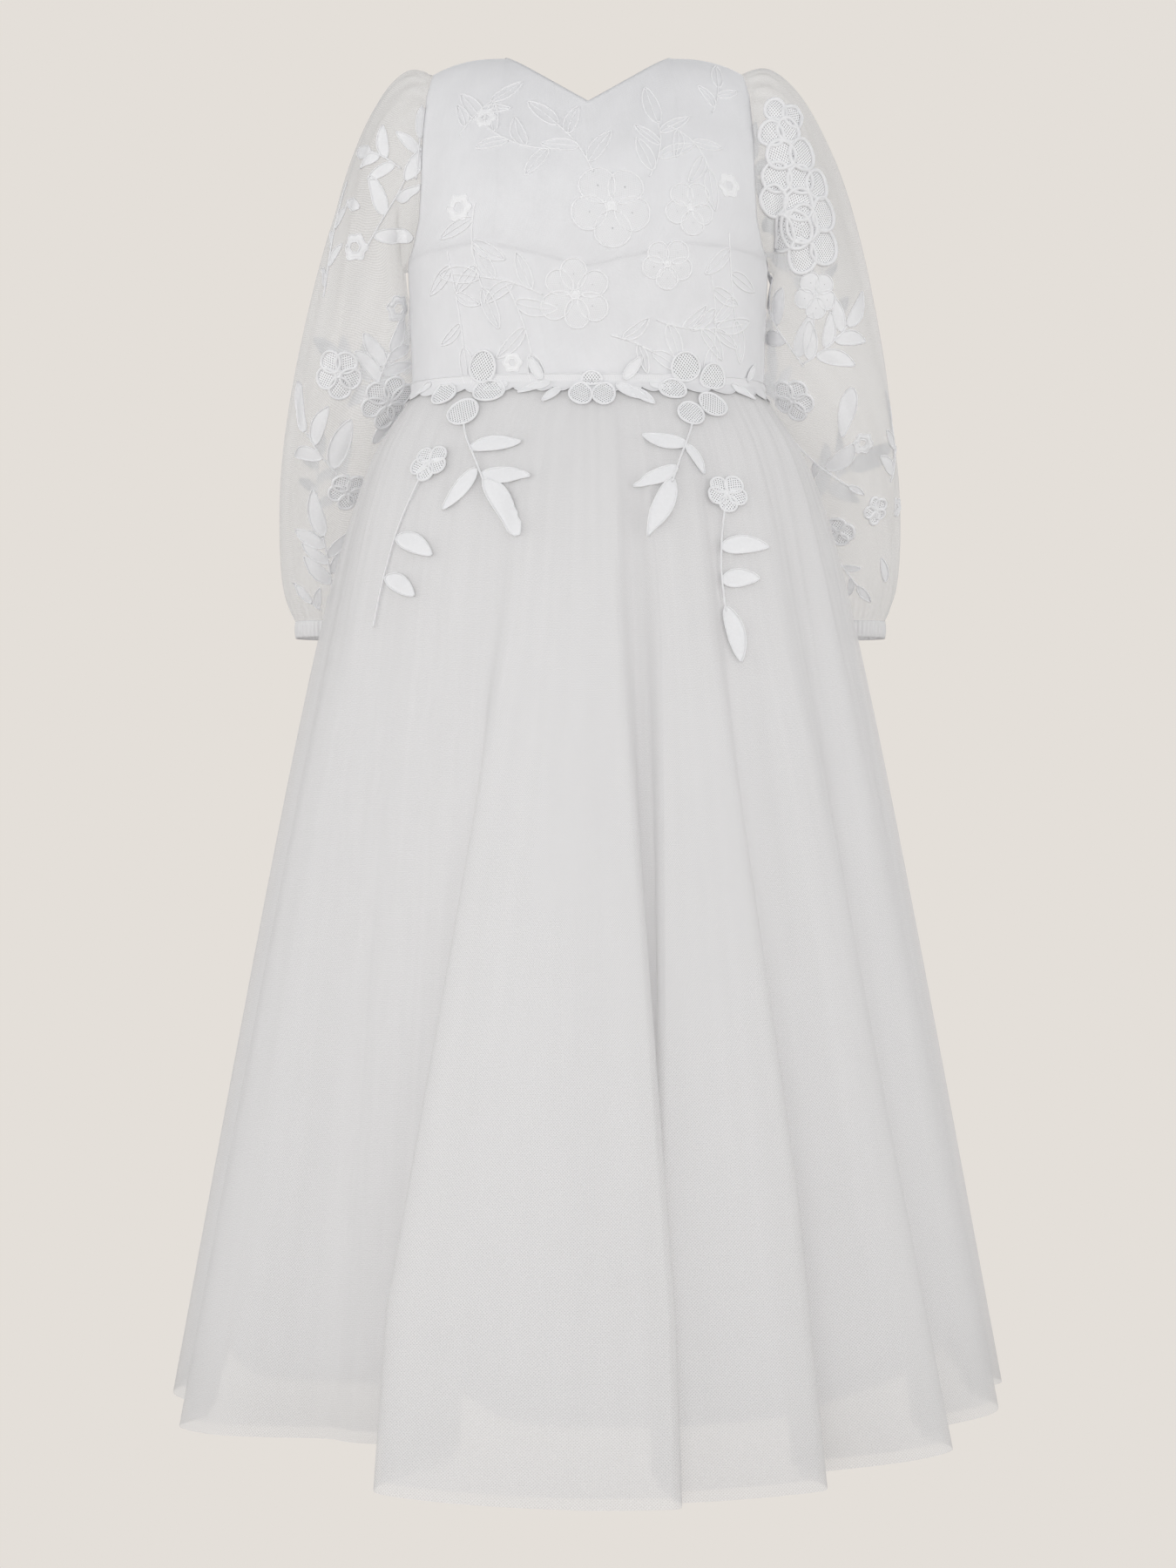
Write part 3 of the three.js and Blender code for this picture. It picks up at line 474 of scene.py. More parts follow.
def netted(name, colour, pitch, depth, hole_shade, cover=None):
    """Thread net inside a petal's rim, with painted shade darkening its holes. With a cover they are
    see-through.
    """
    s = Shader(name)
    threads = s.net(pitch, 0.3, 0.62)
    # The holes are tinted darker than the threads: painted shade of what lies behind the net.
    cloth = s.skin(s.tint(threads, hole_shade, colour), 0.55, threads, depth, 0.7, Sheen_Weight=0.2)
    if cover is None:
        return s.finish(cloth)
    return s.finish(s.mix(s.fit(threads, 0, 1, cover, 0.98), s.add("BsdfTransparent"), cloth))


def woven_tape(name, colour):
    """Zip tape in a fine twill."""
    s = Shader(name)
    place = s.add("TexCoord", output="Object")
    twill = s.add("TexWave", {"Vector": place, "Scale": 900.0, "Distortion": 0.4, "Detail": 1.0})
    return s.finish(s.skin(s.tint(twill, 0.93, colour), 0.8, twill, 0.1, 0.6))


def enamel(name, colour):
    """White enamel over metal, with a faint mottle and softened gloss."""
    s = Shader(name)
    place = s.add("TexCoord", output="Object")
    mottle = s.add("TexNoise", {"Vector": place, "Scale": 700.0, "Detail": 3.0})
    rough = s.stretch(mottle, 0.22, 0.34)
    colours = s.tint(mottle, 0.96, colour)
    return s.finish(s.skin(colours, rough, mottle, 0.02, 0.4, Coat_Weight=0.4, Coat_Roughness=0.2))


TULLE_WHITE = (0.892, 0.885, 0.884)
THREAD_WHITE = (0.97, 0.972, 0.985)
OUTER_TULLE = sheer("outer_tulle", TULLE_WHITE, 0.6)
UNDER_TULLE = sheer("under_tulle", TULLE_WHITE, 0.62)
SLEEVE_NET = sheer("sleeve_net", (0.87, 0.87, 0.872), 0.41, shadow=0.1, net_pitch=1.3, net_share=0.08)
LINING_SATIN = satin("lining_satin", (0.89, 0.885, 0.898))
CUFF_SATIN = satin("cuff_satin", (0.86, 0.857, 0.862), roughness=0.6)
BODICE_CLOTH = veiled_satin("bodice_cloth", (0.88, 0.88, 0.895))
THREAD = stitched("white_thread", THREAD_WHITE)
CORD = stitched("white_cord", (0.98, 0.98, 0.99), pitch=0.7, depth=0.1, roughness=0.55)
# Both nets have painted shade in the holes between their threads.
PETAL_NET = netted("petal_net", THREAD_WHITE, pitch=2.3, depth=0.4, hole_shade=0.55, cover=0.5)
BODICE_NET = netted("bodice_net", (0.89, 0.89, 0.903), pitch=1.8, depth=0.12, hole_shade=0.93)
TAPE = woven_tape("zip_tape_weave", (0.84, 0.84, 0.85))
ENAMEL = enamel("white_enamel", (0.85, 0.85, 0.86))


# ---- making meshes
def grid_quads(rows, columns, loop=False):
    """The faces of a grid, facing the side that its rows run anticlockwise round."""
    i, j = np.meshgrid(np.arange(rows - 1), np.arange(columns if loop else columns - 1), indexing="ij")
    after = (j + 1) % columns
    here, below = i * columns, (i + 1) * columns
    return np.stack([here + j, below + j, below + after, here + after], -1).reshape(-1, 4)


def placed(name, data, place=(0, 0, 0)):
    """A new object in the scene."""
    thing = bpy.data.objects.new(name, data)
    thing.location = place
    bpy.context.scene.collection.objects.link(thing)
    return thing


def mesh_piece(name, points, quads, cloth_place, materials, finishes=None):
    """A piece from points in millimetres. cloth_place is each face corner's place on the flat cloth."""
    mesh = bpy.data.meshes.new(name)
    mesh.from_pydata((points * MM).tolist(), [], quads.tolist(), shade_flat=False)
    if finishes is not None:
        mesh.polygons.foreach_set("material_index", finishes)
    mesh.uv_layers.new(name="UVMap").data.foreach_set("uv", cloth_place.ravel())
    for material in materials:
        mesh.materials.append(material)
    return placed(name, mesh)


def on_dress(piece, slot, node=None):
    """Fastens a piece to the dress, in its CAD node's place where it has one."""
    if node:
        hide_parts(node)
    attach(piece, "dress")


def lengths_across(grid):
    """Each point's distance along its row from the row's start."""
    steps = np.linalg.norm(np.diff(grid, axis=1), axis=-1)
    return np.concatenate([np.zeros((len(grid), 1)), np.cumsum(steps, axis=1)], axis=1)


def cloth_piece(name, grid, material, loop=False, cut_width=None, thick=0):
    """A cloth from a grid of points. cut_width spreads the weave evenly over gathered cloth."""
    rows, columns = grid.shape[:2]
    closed = np.concatenate([grid, grid[:, :1]], axis=1) if loop else grid
    across = lengths_across(closed)
    if cut_width:
        across = np.broadcast_to(np.linspace(0, cut_width, closed.shape[1]), across.shape)
    along = lengths_across(closed.transpose(1, 0, 2)).T
    place = np.stack([across, along], -1)
    corners = place.reshape(-1, 2)[grid_quads(rows, closed.shape[1])]
    piece = mesh_piece(name, grid.reshape(-1, 3), grid_quads(rows, columns, loop), corners, [material])
    if thick:
        wall = piece.modifiers.new("wall", "SOLIDIFY")
        wall.thickness = thick * MM
        wall.offset = -1
    return piece


def form_tree(grid, loop=False):
    """A grid as a surface that points can be dropped onto."""
    quads = grid_quads(*grid.shape[:2], loop)
    return BVHTree.FromPolygons([Vector(p) for p in grid.reshape(-1, 3)], quads.tolist())


# ---- lace on a form
class Spot:
    """A place on a form, with the direction out of it and a heading along it."""

    def __init__(self, form, point, heading):
        place, normal = form.find_nearest(Vector(point))[:2]
        self.form = form
        self.point = np.array(place)
        self.normal = np.array(normal)
        self.heading = unit(heading - self.normal * np.dot(heading, self.normal))

    def across(self):
        return np.cross(self.normal, self.heading)

    def at(self, across, along, turn=0):
        """The spot so many millimetres away, with its heading turned by degrees to its own right."""
        spot = Spot(self.form, self.point + self.across() * across + self.heading * along, self.heading)
        t = math.radians(turn)
        spot.heading = spot.heading * math.cos(t) + spot.across() * math.sin(t)
        return spot

    def drop(self, flat):
        """Flat places, across and along from the spot, as points on the form and the directions out of it."""
        places = self.point + flat[:, :1] * self.across() + flat[:, 1:] * self.heading
        found = [self.form.find_nearest(Vector(place))[:2] for place in places]
        return np.array([f[0] for f in found]), np.array([f[1] for f in found])


STITCH, NET, GROUND = 0, 1, 2
CORD_SIDES = 6
LEAF_GRID = (15, 7)
LEAF_ENDS = (0.02, 0.985)
LEAF_PEAK = 0.385
LEAF_SPREAD = 52
PETAL_SIDES = 24
RING_SIDES = 30
RING_EYE = 0.42


class Lace:
    """Embroidery on one cloth, gathered into one mesh: stitched patches, net patches and cords."""

    def __init__(self, lift):
        self.lift = lift
        self.parts = []
        self.count = 0

    def add(self, grid, place, finish, loop=False):
        rows, columns = grid.shape[:2]
        quads = grid_quads(rows, columns, loop)
        corners = place.reshape(-1, 2)[quads]
        self.parts.append((grid.reshape(-1, 3), quads + self.count, corners, np.full(len(quads), finish)))
        self.count += rows * columns

    def patch(self, spot, flat, height, place, finish, loop=False):
        """A patch from a grid of flat places, raised by height over the cloth."""
        points, normals = spot.drop(flat.reshape(-1, 2))
        raised = points + normals * (height.reshape(-1, 1) + self.lift)
        self.add(raised.reshape(*flat.shape[:2], 3), place, finish, loop)

    def cord(self, points, normals, radius, closed=False):
        """A cord through points that lie on a form."""
        along = np.roll(points, -1, 0) - np.roll(points, 1, 0) if closed else np.gradient(points, axis=0)
        side = unit(np.cross(normals, unit(along)))
        turns = evenly_round(CORD_SIDES)
        middle = points + normals * (self.lift + radius * 0.5)
        cos, sin = np.cos(turns)[None, :, None], np.sin(turns)[None, :, None]
        ring = middle[:, None] + radius * (cos * side[:, None] + sin * normals[:, None])
        if closed:
            ring = np.concatenate([ring, ring[:1]])
        run = lengths_across(ring[None, :, 0])[0]
        place = np.stack(np.broadcast_arrays(turns[None, :] * radius, run[:, None]), -1)
        self.add(ring, place, STITCH, loop=True)

    def leaf(self, spot, length, width, bend=0.0, dome=0.5, rim=0.6, fill=STITCH, vein=0.0):
        """A leaf from its stalk at the spot, pointing where the spot heads."""
        t = np.linspace(*LEAF_ENDS, LEAF_GRID[0])
        s = np.linspace(-1, 1, LEAF_GRID[1])
        half = np.maximum(0.12, width / 2 * t**0.6 * (1 - t) ** 0.8 / LEAF_PEAK)
        middle = bend * length * np.sin(math.pi * t)
        across = middle[:, None] - half[:, None] * s
        flat = np.stack([across, np.broadcast_to(t[:, None] * length, LEAF_GRID)], -1)
        height = dome * ((half[:, None] * 2 / width) * (1 - s**2) - 0.3 * ridge(s, 0.2))
        if fill is not None:
            self.patch(spot, flat, height, np.stack([np.abs(flat[..., 0]), flat[..., 1]], -1), fill)
        edge = np.concatenate([flat[:, 0], flat[::-1, -1]])
        self.cord(*spot.drop(edge), rim, closed=True)
        if vein:
            self.cord(*spot.drop(np.stack([middle, t * length * 0.92], -1)), vein)

    def petal(self, spot, width, length, rim=1.0, fill=NET, dome=0.8):
        """A rounded petal whose middle is at the spot."""
        turns = evenly_round(PETAL_SIDES)
        share = np.linspace(0.04, 1, 6)[:, None]
        outline = np.stack([-np.cos(turns) * width / 2, np.sin(turns) * length / 2], -1)
        outline[:, 0] *= 1 + 0.12 * np.sin(turns)
        flat = share[..., None] * outline[None]
        height = dome * (1 - share**2) * np.ones((1, PETAL_SIDES))
        self.patch(spot, flat[::-1], height[::-1], flat[::-1], fill, loop=True)
        self.cord(*spot.drop(outline), rim, closed=True)

    def flower(self, spot, radius, petals=5, rim=1.0, fill=NET, seed=0):
        """Petals round an eye. radius is from the eye's middle to the petals' tips."""
        rng = random.Random(seed)
        for i in range(petals):
            size = radius * rng.uniform(0.92, 1.06)
            turned = spot.at(0, 0, i * 360 / petals + rng.uniform(-7, 7))
            self.petal(turned.at(0, size * 0.56), size * 0.86 * 5 / petals, size * 0.88, rim, fill)
        self.petal(spot, radius * 0.26, radius * 0.26, rim * 0.8, STITCH, dome=1.2)

    def ring_flower(self, spot, radius, rim=0.6):
        """A small scalloped flower of satin stitch round an open eye."""
        turns = evenly_round(RING_SIDES)
        share = np.linspace(RING_EYE, 1, 5)[:, None]
        reach = radius * share * (1 + 0.12 * share * np.cos(6 * turns))
        flat = np.stack([-np.cos(turns) * reach, np.sin(turns) * reach], -1)
        height = 0.9 * np.sin(math.pi * (share - RING_EYE) / (1 - RING_EYE)) * np.ones((1, RING_SIDES))
        around = np.stack([reach, np.broadcast_to(turns * radius * 0.7, reach.shape)], -1)
        self.patch(spot, flat[::-1], height[::-1], around[::-1], STITCH, loop=True)
        for edge in (flat[0], flat[-1]):
            self.cord(*spot.drop(edge), rim, closed=True)

    def stem(self, spots, radius):
        self.cord(np.array([s.point for s in spots]), np.array([s.normal for s in spots]), radius)

    def branch(self, spot, row, bend, seed, stem, **look):
        """A bent stem from the spot with leaves on either side by turns and one at its tip."""
        rng = random.Random(seed)
        leaves, leaf = row.leaves, row.leaf
        steps = max(8, round(row.length / 3))
        spots = [spot]
        for _ in range(steps):
            spots.append(spots[-1].at(0, row.length / steps, bend / steps))
        self.stem(spots, stem)
        for i in range(leaves - 1):
            root = spots[min(steps, round(steps * (i + 0.6) / (leaves - 0.5)))]
            side = 1 if (i + seed) % 2 else -1
            size = leaf * rng.uniform(0.82, 1.1) * (1 - 0.18 * i / leaves)
            turned = root.at(0, 0, side * (LEAF_SPREAD + rng.uniform(-10, 10)))
            self.leaf(turned, size, size * rng.uniform(0.3, 0.38), -side * rng.uniform(0, 0.08), **look)
        self.leaf(spots[-1], leaf * 1.1, leaf * 0.36, rng.uniform(-0.05, 0.05), **look)

    def piece(self, name, materials):
        points, quads, corners, finishes = (np.concatenate(part) for part in zip(*self.parts))
        return mesh_piece(name, points, quads, corners, materials, finishes)


# ---- the cloth
BACK_EDGE = 0.002


def bodice():
    """The front and the two backs, satin under its net, with their edges turned in. Gives their forms."""
    panels = {
        "bodice_front": ("front", np.linspace(-1, 1, 141)),
        "bodice_back_left": ("back", np.linspace(1, BACK_EDGE, 71)),
        "bodice_back_right": ("back", np.linspace(-BACK_EDGE, -1, 71)),
    }
    forms = {name: bodice_grid(*panel) for name, panel in panels.items()}
    for name, grid in forms.items():
        on_dress(cloth_piece(f"{name}_cloth", grid, BODICE_CLOTH, thick=BODICE_THICK), "lace", name)
    return forms


# step is in degrees. A layer lies gap inside the skirt's form, and more as well from where share times rate
# reaches 1.
LAYERS = table(
    "name material slot step rows cut_width folded length drapes gap more rate",
    ("tulle", OUTER_TULLE, "tulle", 0.4, 90, 2640, 1, 1, GATHERS + DRAPES, 0, 0, 0),
    ("under", UNDER_TULLE, "tulle", 0.5, 80, 2600, 1, 0.99, GATHERS + DRAPES + UNDER_DRAPES, 1.3, 3.2, 5),
    ("lining", LINING_SATIN, "lining", 1.5, 50, 1960, 0, 0.95, LINING_DRAPES, 2.8, 11, 4),
)


def skirt():
    """Two layers of gathered tulle over a plain lining, each in the three panels that it is cut in."""
    for layer in LAYERS:
        shares = np.linspace(0, 1, layer.rows) ** ROW_SPREAD
        gap = layer.gap + layer.more * np.minimum(1, shares * layer.rate)
        for panel, (start, end) in PANELS.items():
            angles = np.linspace(start, end, round((end - start) / layer.step) + 1)
            form = skirt_point(*np.meshgrid(angles, shares), layer.folded, layer.length, layer.drapes)
            grid = form - grid_normals(form) * gap[:, None, None]
            width = layer.cut_width * (end - start) / 360
            name = f"skirt_{layer.name}_{panel}"
            piece = cloth_piece(f"{name}_cloth", grid, layer.material, cut_width=width)
            on_dress(piece, layer.slot, name)


SLEEVE_TURNS = 200
SLEEVE_STEPS = 13
HEAD_GATHERS = 26
CUFF_GATHERS = 40
SLEEVE_DRAPES = 13


def sleeve_creases(turn, share, side):
    """Gathers at the sleeve's head and cuff, and soft slanting drapes between them."""
    rng = random.Random("sleeve %d" % side)
    height = np.zeros(turn.shape)

    def across(off, width):
        return ridge(np.angle(np.exp(1j * off)), width)

    for i in range(HEAD_GATHERS):
        at = (i + rng.uniform(-0.3, 0.3)) * 2 * math.pi / HEAD_GATHERS
        size = rng.uniform(0.8, 3.0) * (0.25 + 0.75 * smoothstep(0, 0.9, math.cos(at)))
        end = rng.uniform(0.12, 0.36)
        fade = 1 - smoothstep(0.3 * end, end, share)
        height += size * across(turn - at, 0.07) * smoothstep(0, 0.03, share) * fade
    for i in range(CUFF_GATHERS):
        at = (i + rng.uniform(-0.35, 0.35)) * 2 * math.pi / CUFF_GATHERS
        size = rng.uniform(0.4, 1.5)
        start = rng.uniform(0.72, 0.9)
        fade = 1 - 0.5 * smoothstep(0.97, 1, share)
        height += size * across(turn - at, 0.05) * smoothstep(start, 1, share) * fade
    away = smoothstep(-0.75, 0.1, np.cos(turn))
    for _ in range(SLEEVE_DRAPES):
        at = rng.uniform(-2.2, 2.2)
        slant = rng.uniform(-2.2, 2.2)
        middle = rng.uniform(0.25, 0.8)
        reach = rng.uniform(0.14, 0.34)
        size = rng.uniform(1.6, 4.2) * rng.choice([1, -1])
        off = turn - at - slant * (share - middle)
        height += away * size * across(off, 0.16) * ridge(share - middle, reach)
    return height


def sleeve(name):
    """A sheer bishop sleeve, gathered into its armhole and its cuff. Gives its form."""
    side = SIDES[name]
    turns = evenly_round(SLEEVE_TURNS) * side
    grid = curved_through(sleeve_rings(side, turns), SLEEVE_STEPS)
    share = np.linspace(0, 1, len(grid))[:, None] * np.ones((1, SLEEVE_TURNS))
    inward = smoothstep(-1.0, -0.3, np.cos(turns))[None, :]
    height = sleeve_creases(np.broadcast_to(turns * side, share.shape), share, side) * inward
    grid = grid + grid_normals(grid, loop=True) * (height - SEAM)[..., None]
    on_dress(cloth_piece(f"sleeve_{name}_cloth", grid, SLEEVE_NET, loop=True), "organza", f"sleeve_{name}")
    return grid


CUFF_RIBS = 46
POINTS_PER_RIB = 6
CUFF_THICK = 1.2


def cuff(name):
    """A narrow cuff, shirred over its elastic."""
    side = SIDES[name]
    turns = evenly_round(CUFF_RIBS * POINTS_PER_RIB) * side
    ring = sleeve_rings(side, turns)[-1]
    rng = random.Random("cuff " + name)
    depth = np.array([rng.uniform(0.25, 0.7) for _ in range(CUFF_RIBS)])
    away = unit((ring - ring.mean(axis=0)) * [1, 1.6, 0])
    rows = []
    for share in np.linspace(0, 1, 9):
        drop = CUFF_HEIGHT * share + SEAM
        bow = math.sin(math.pi * share)
        ribs = np.repeat(depth, POINTS_PER_RIB) * np.cos(np.abs(turns) * CUFF_RIBS) * (0.55 + 0.45 * bow)
        rows.append(ring + away * (ribs + 0.5 * bow - 0.4)[:, None] + [0, drop / 5, -drop])
    piece = cloth_piece(f"cuff_{name}_cloth", np.array(rows), CUFF_SATIN, loop=True, thick=CUFF_THICK)
    on_dress(piece, "lining", f"cuff_{name}")


# ---- camera, lights and floor
CAMERA = Vector((0, -2400, -566)) * MM
LENS = 70.6
SENSOR = 36
BACKGROUND = (0.7758, 0.7379, 0.6939, 1)
FLOOR_GLOW = 0.36
FLOOR_HALF = 6
FLOOR_DROP = 25
SURROUND = (0.745, 0.745, 0.75, 1)
SURROUND_STRENGTH = 0.625
# The lights are in metres and watts, and aim is the height on the dress's middle that a light points at.
LIGHTS = table(
    "name place aim size power",
    ("front", (-0.15, -2.6, -0.35), -0.45, 2.2, 25.5),
    ("left", (-1.85, -0.95, -0.4), -0.45, 1.7, 14.5),
    ("right", (1.85, -0.95, -0.4), -0.45, 1.7, 13.5),
    ("back", (0.6, 2.6, 0.7), -0.5, 2.6, 40),
)


def camera():
    data = bpy.data.cameras.new("camera")
    data.lens = LENS
    data.sensor_width = SENSOR
    view = placed("camera", data, CAMERA)
    view.rotation_euler = (math.pi / 2, 0, 0)
    bpy.context.scene.camera = view


def studio():
    """A plain pale surround and floor, with soft light from the front, the sides and the back."""
    bpy.context.scene.view_settings.view_transform = "Standard"
    s = Shader("studio", "World")
    lit = s.add("Background", {"Color": SURROUND, "Strength": SURROUND_STRENGTH})
    shown = s.add("Background", {"Color": BACKGROUND})
    bpy.context.scene.world = s.finish(s.mix(s.ray("Camera"), lit, shown))
    for row in LIGHTS:
        data = bpy.data.lights.new(row.name, "AREA")
        data.size = row.size
        data.energy = row.power
        aim = Vector((0, 0, row.aim)) - Vector(row.place)
        placed(row.name, data, row.place).rotation_euler = aim.to_track_quat("-Z", "Y").to_euler()
    s = Shader("studio_floor")
    glow = s.fit(s.ray("Camera"), 0, 1, FLOOR_GLOW, 1)
    pale = s.finish(s.add("Emission", {"Color": BACKGROUND, "Strength": glow}))
    corners = FLOOR_HALF / MM * np.array([(-1, -1, 0), (1, -1, 0), (1, 1, 0), (-1, 1, 0)])
    corners[:, 2] = HEM_Z - FLOOR_DROP
    quad = np.array([[0, 1, 2, 3]])
    mesh_piece("floor", corners, quad, corners[quad][..., :2], [pale])


camera()
studio()
bodice_forms = bodice()
skirt()
sleeve_forms = {}
for side_name in SIDES:
    sleeve_forms[side_name] = sleeve(side_name)
    cuff(side_name)
for node, material in {"zip_tape": TAPE, "zip_slider": ENAMEL, "zip_pull": ENAMEL}.items():
    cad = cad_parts[node]
    cad.data.materials.clear()
    cad.data.materials.append(material)


# ---- where lace goes
DOWN = np.array([0, 0, -1.0])
BRANCH = "x z heading length bend leaves leaf"


def seen_at(form, x, z, face=FRONT, turn=0):
    """The spot on a form, heading down and turned, that a viewer sees at (x, z) of the dress's middle plane.

    The viewer stands where the camera is, or as far behind the dress for the back.
    """
    eye = Vector((CAMERA.x, face * -CAMERA.y, CAMERA.z)) / MM
    ray = (Vector((x, 0, z)) - eye).normalized()
    hit = form.ray_cast(eye, ray)[0]
    return Spot(form, hit, DOWN).at(0, 0, turn) if hit is not None else None


FLOWER = "x z radius petals"
BODICE_FLOWERS = table(FLOWER, (18, -114, 31, 5), (-10, -184, 27, 6), (80, -116, 20, 5), (62, -160, 20, 5))
BODICE_RINGS = table("x z radius", (-80, -46, 8), (-101, -116, 10), (-59, -237, 7), (110, -99, 9))
# Headings are in degrees from straight down, positive to the viewer's right.
BODICE_BRANCHES = table(
    BRANCH,
    (4, -88, -158, 52, 20, 4, 32), (-22, -70, -88, 72, -60, 5, 33), (-88, -112, -10, 66, 30, 4, 30),
    (-100, -60, 160, 38, -20, 3, 28), (-36, -184, -118, 50, 25, 4, 34), (-64, -176, 28, 56, -20, 3, 33),
    (-110, -150, 12, 74, -10, 4, 29), (48, -92, 150, 52, 40, 5, 35), (62, -52, 62, 50, -50, 4, 30),
    (97, -42, 150, 28, 20, 3, 25), (110, -136, 4, 66, 10, 4, 30), (96, -170, 16, 52, -20, 4, 28),
    (54, -204, 70, 48, 30, 4, 32), (18, -216, 78, 34, -20, 3, 28),
)


def bodice_lace(forms):
    """Corded flowers and leaves all over the satin, in its own white."""
    laces = {name: Lace(lift=0) for name in forms}
    trees = {name: form_tree(grid) for name, grid in forms.items()}

    def spots(rows):
        for number, row in enumerate(rows):
            for face in (FRONT, BACK):
                back = "bodice_back_left" if row.x > 0 else "bodice_back_right"
                name = "bodice_front" if face == FRONT else back
                spot = seen_at(trees[name], row.x, row.z, face)
                if spot:
                    yield laces[name], spot, row, number, face

    for lace, spot, row, number, face in spots(BODICE_FLOWERS):
        if face == FRONT or abs(row.x) > row.radius + 4:
            lace.flower(spot, row.radius, row.petals, rim=0.65, seed=number)
    for lace, spot, row, _, _ in spots(BODICE_RINGS):
        lace.ring_flower(spot, row.radius, rim=0.45)
    for lace, spot, row, number, face in spots(BODICE_BRANCHES):
        turned = spot.at(0, 0, -face * row.heading)
        lace.branch(turned, row, -face * row.bend, seed=number, stem=0.6, fill=None, vein=0.45)
    for name, lace in laces.items():
        on_dress(lace.piece(f"{name}_lace", [CORD, BODICE_NET]), "lace")


# Rows with x above 0 are on the left sleeve, and the others on the right.
SLEEVE_BRANCHES = table(
    BRANCH,
    (-134, -94, 178, 34, 0, 3, 26), (-146, -86, -130, 30, 20, 4, 30), (-172, -146, 146, 58, 0, 4, 34),
    (-206, -186, 166, 66, 16, 5, 25), (-128, -150, -76, 122, 52, 6, 36),
    (-164, -254, 168, 28, -10, 5, 31), (-196, -324, -140, 42, 0, 4, 44),
    (-200, -414, -168, 48, 8, 6, 38), (-208, -430, -130, 10, 0, 2, 22),
    (168, -240, -150, 54, 14, 4, 36), (168, -238, 118, 46, 12, 6, 36), (163, -300, 22, 54, 4, 2, 14),
    (196, -392, 24, 26, 0, 3, 17), (222, -120, 200, 40, -10, 4, 24), (236, -330, 176, 48, 6, 5, 24),
)
SLEEVE_LEAVES = table(
    "x z heading length",
    (-178, -116, -110, 28), (-168, -300, 160, 34), (206, -256, -4, 42), (186, -320, 114, 42),
    (232, -408, -150, 24),
)
SLEEVE_FLOWERS = table(
    FLOWER,
    (-195, -246, 19, 5), (-188, -338, 16, 5), (-156, -268, 22, 6), (160, -266, 17, 5),
    (196, -369, 12, 4), (224, -352, 11, 5),
)
SATIN_FLOWERS = table(FLOWER, (178, -184, 18, 5))
SLEEVE_RINGS = table(
    "x z radius", (-182, -147, 10), (-148, -195, 10), (240, -350, 7), (214, -300, 8)
)
# Rows of net petals that overlap downwards like scales.
PETAL_ROWS = table(
    "x z size count heading",
    (147, -38, 18, 2, -20), (143, -56, 19, 2, 10), (150, -72, 23, 2, 5), (147, -92, 23, 3, 0),
    (144, -113, 24, 3, -5), (150, -134, 26, 3, 0), (166, -152, 25, 2, 10),
)
SLEEVE_LIFT = 0.25


def sleeve_lace(name, form):
    """Net flowers, satin-stitched leaves, stems and ringed flowers on a sleeve's front and back."""
    side = SIDES[name]
    tree = form_tree(form, loop=True)
    lace = Lace(SLEEVE_LIFT)

    def spots(rows, behind=True):
        """The rows' spots: this sleeve's on its front, and the other sleeve's mirrored on its back."""
        for face in (FRONT, BACK) if behind else (FRONT,):
            mirror = 1 if face == FRONT else -1
            own = [row for row in rows if row.x * side * mirror > 0]
            for number, row in enumerate(own):
                spot = seen_at(tree, row.x * mirror, row.z, face, getattr(row, "heading", 0))
                if spot:
                    yield number if face == FRONT else number + 20, row, spot

    for number, row, spot in spots(PETAL_ROWS, behind=False):
        rng = random.Random(number)
        lace.lift = SLEEVE_LIFT + 0.35 * (number % 3)
        for i in range(row.count):
            turn = rng.uniform(-18, 18)
            petal = spot.at(i * row.size * 0.86, rng.uniform(-3, 3), turn)
            lace.petal(petal, row.size, row.size * rng.uniform(0.95, 1.15), rim=1.7)
    lace.lift = SLEEVE_LIFT
    for number, row, spot in spots(SLEEVE_BRANCHES):
        lace.branch(spot, row, row.bend, seed=number, stem=0.75)
    for _, row, spot in spots(SLEEVE_LEAVES):
        lace.leaf(spot, row.length, row.length * 0.34)
    for number, row, spot in spots(SLEEVE_FLOWERS, behind=False):
        lace.flower(spot, row.radius, row.petals, rim=1.3, seed=number)
    for number, row, spot in spots(SATIN_FLOWERS, behind=False):
        lace.flower(spot, row.radius, row.petals, rim=0.6, fill=STITCH, seed=number)
    for _, row, spot in spots(SLEEVE_RINGS):
        lace.ring_flower(spot, row.radius)
    on_dress(lace.piece(f"sleeve_{name}_lace", [THREAD, PETAL_NET]), "guipure")


# ---- lace over the waist seam
WAIST_PETALS = table(
    "x z width length heading",
    (-82, -240, 20, 24, -14), (-77, -259, 24, 23, 0), (-97, -276, 24, 25, -16),
    (-112, -262, 20, 20, 20), (-6, -262, 23, 17, 96), (12, -262, 23, 17, 84), (3, -250, 15, 13, 0),
    (76, -240, 22, 22, 10), (66, -258, 20, 20, 0), (80, -277, 20, 22, -6), (97, -270, 20, 24, 24),
    (97, -249, 20, 22, 0),
)
WAIST_LEAVES = table(
    "x z heading length",
    (-30, -252, -56, 28), (-22, -257, -40, 20), (-36, -250, -150, 20), (22, -254, 54, 28),
    (34, -257, 44, 24), (28, -250, 142, 22), (-62, -253, -70, 20), (48, -254, 80, 18),
    (-122, -253, -60, 18), (112, -254, 50, 24), (124, -252, 150, 16),
)
BAND_ABOVE = 8
BAND_BELOW = 2
BAND_LIFT = 0.5
BAND_CORD = 0.35
SCALLOP = 4
SCALLOPS = 40
HIDDEN_CLUSTERS = 7
BACK_SPAN = (4, 176)
OPENING = 6
OUTSIDE = 700


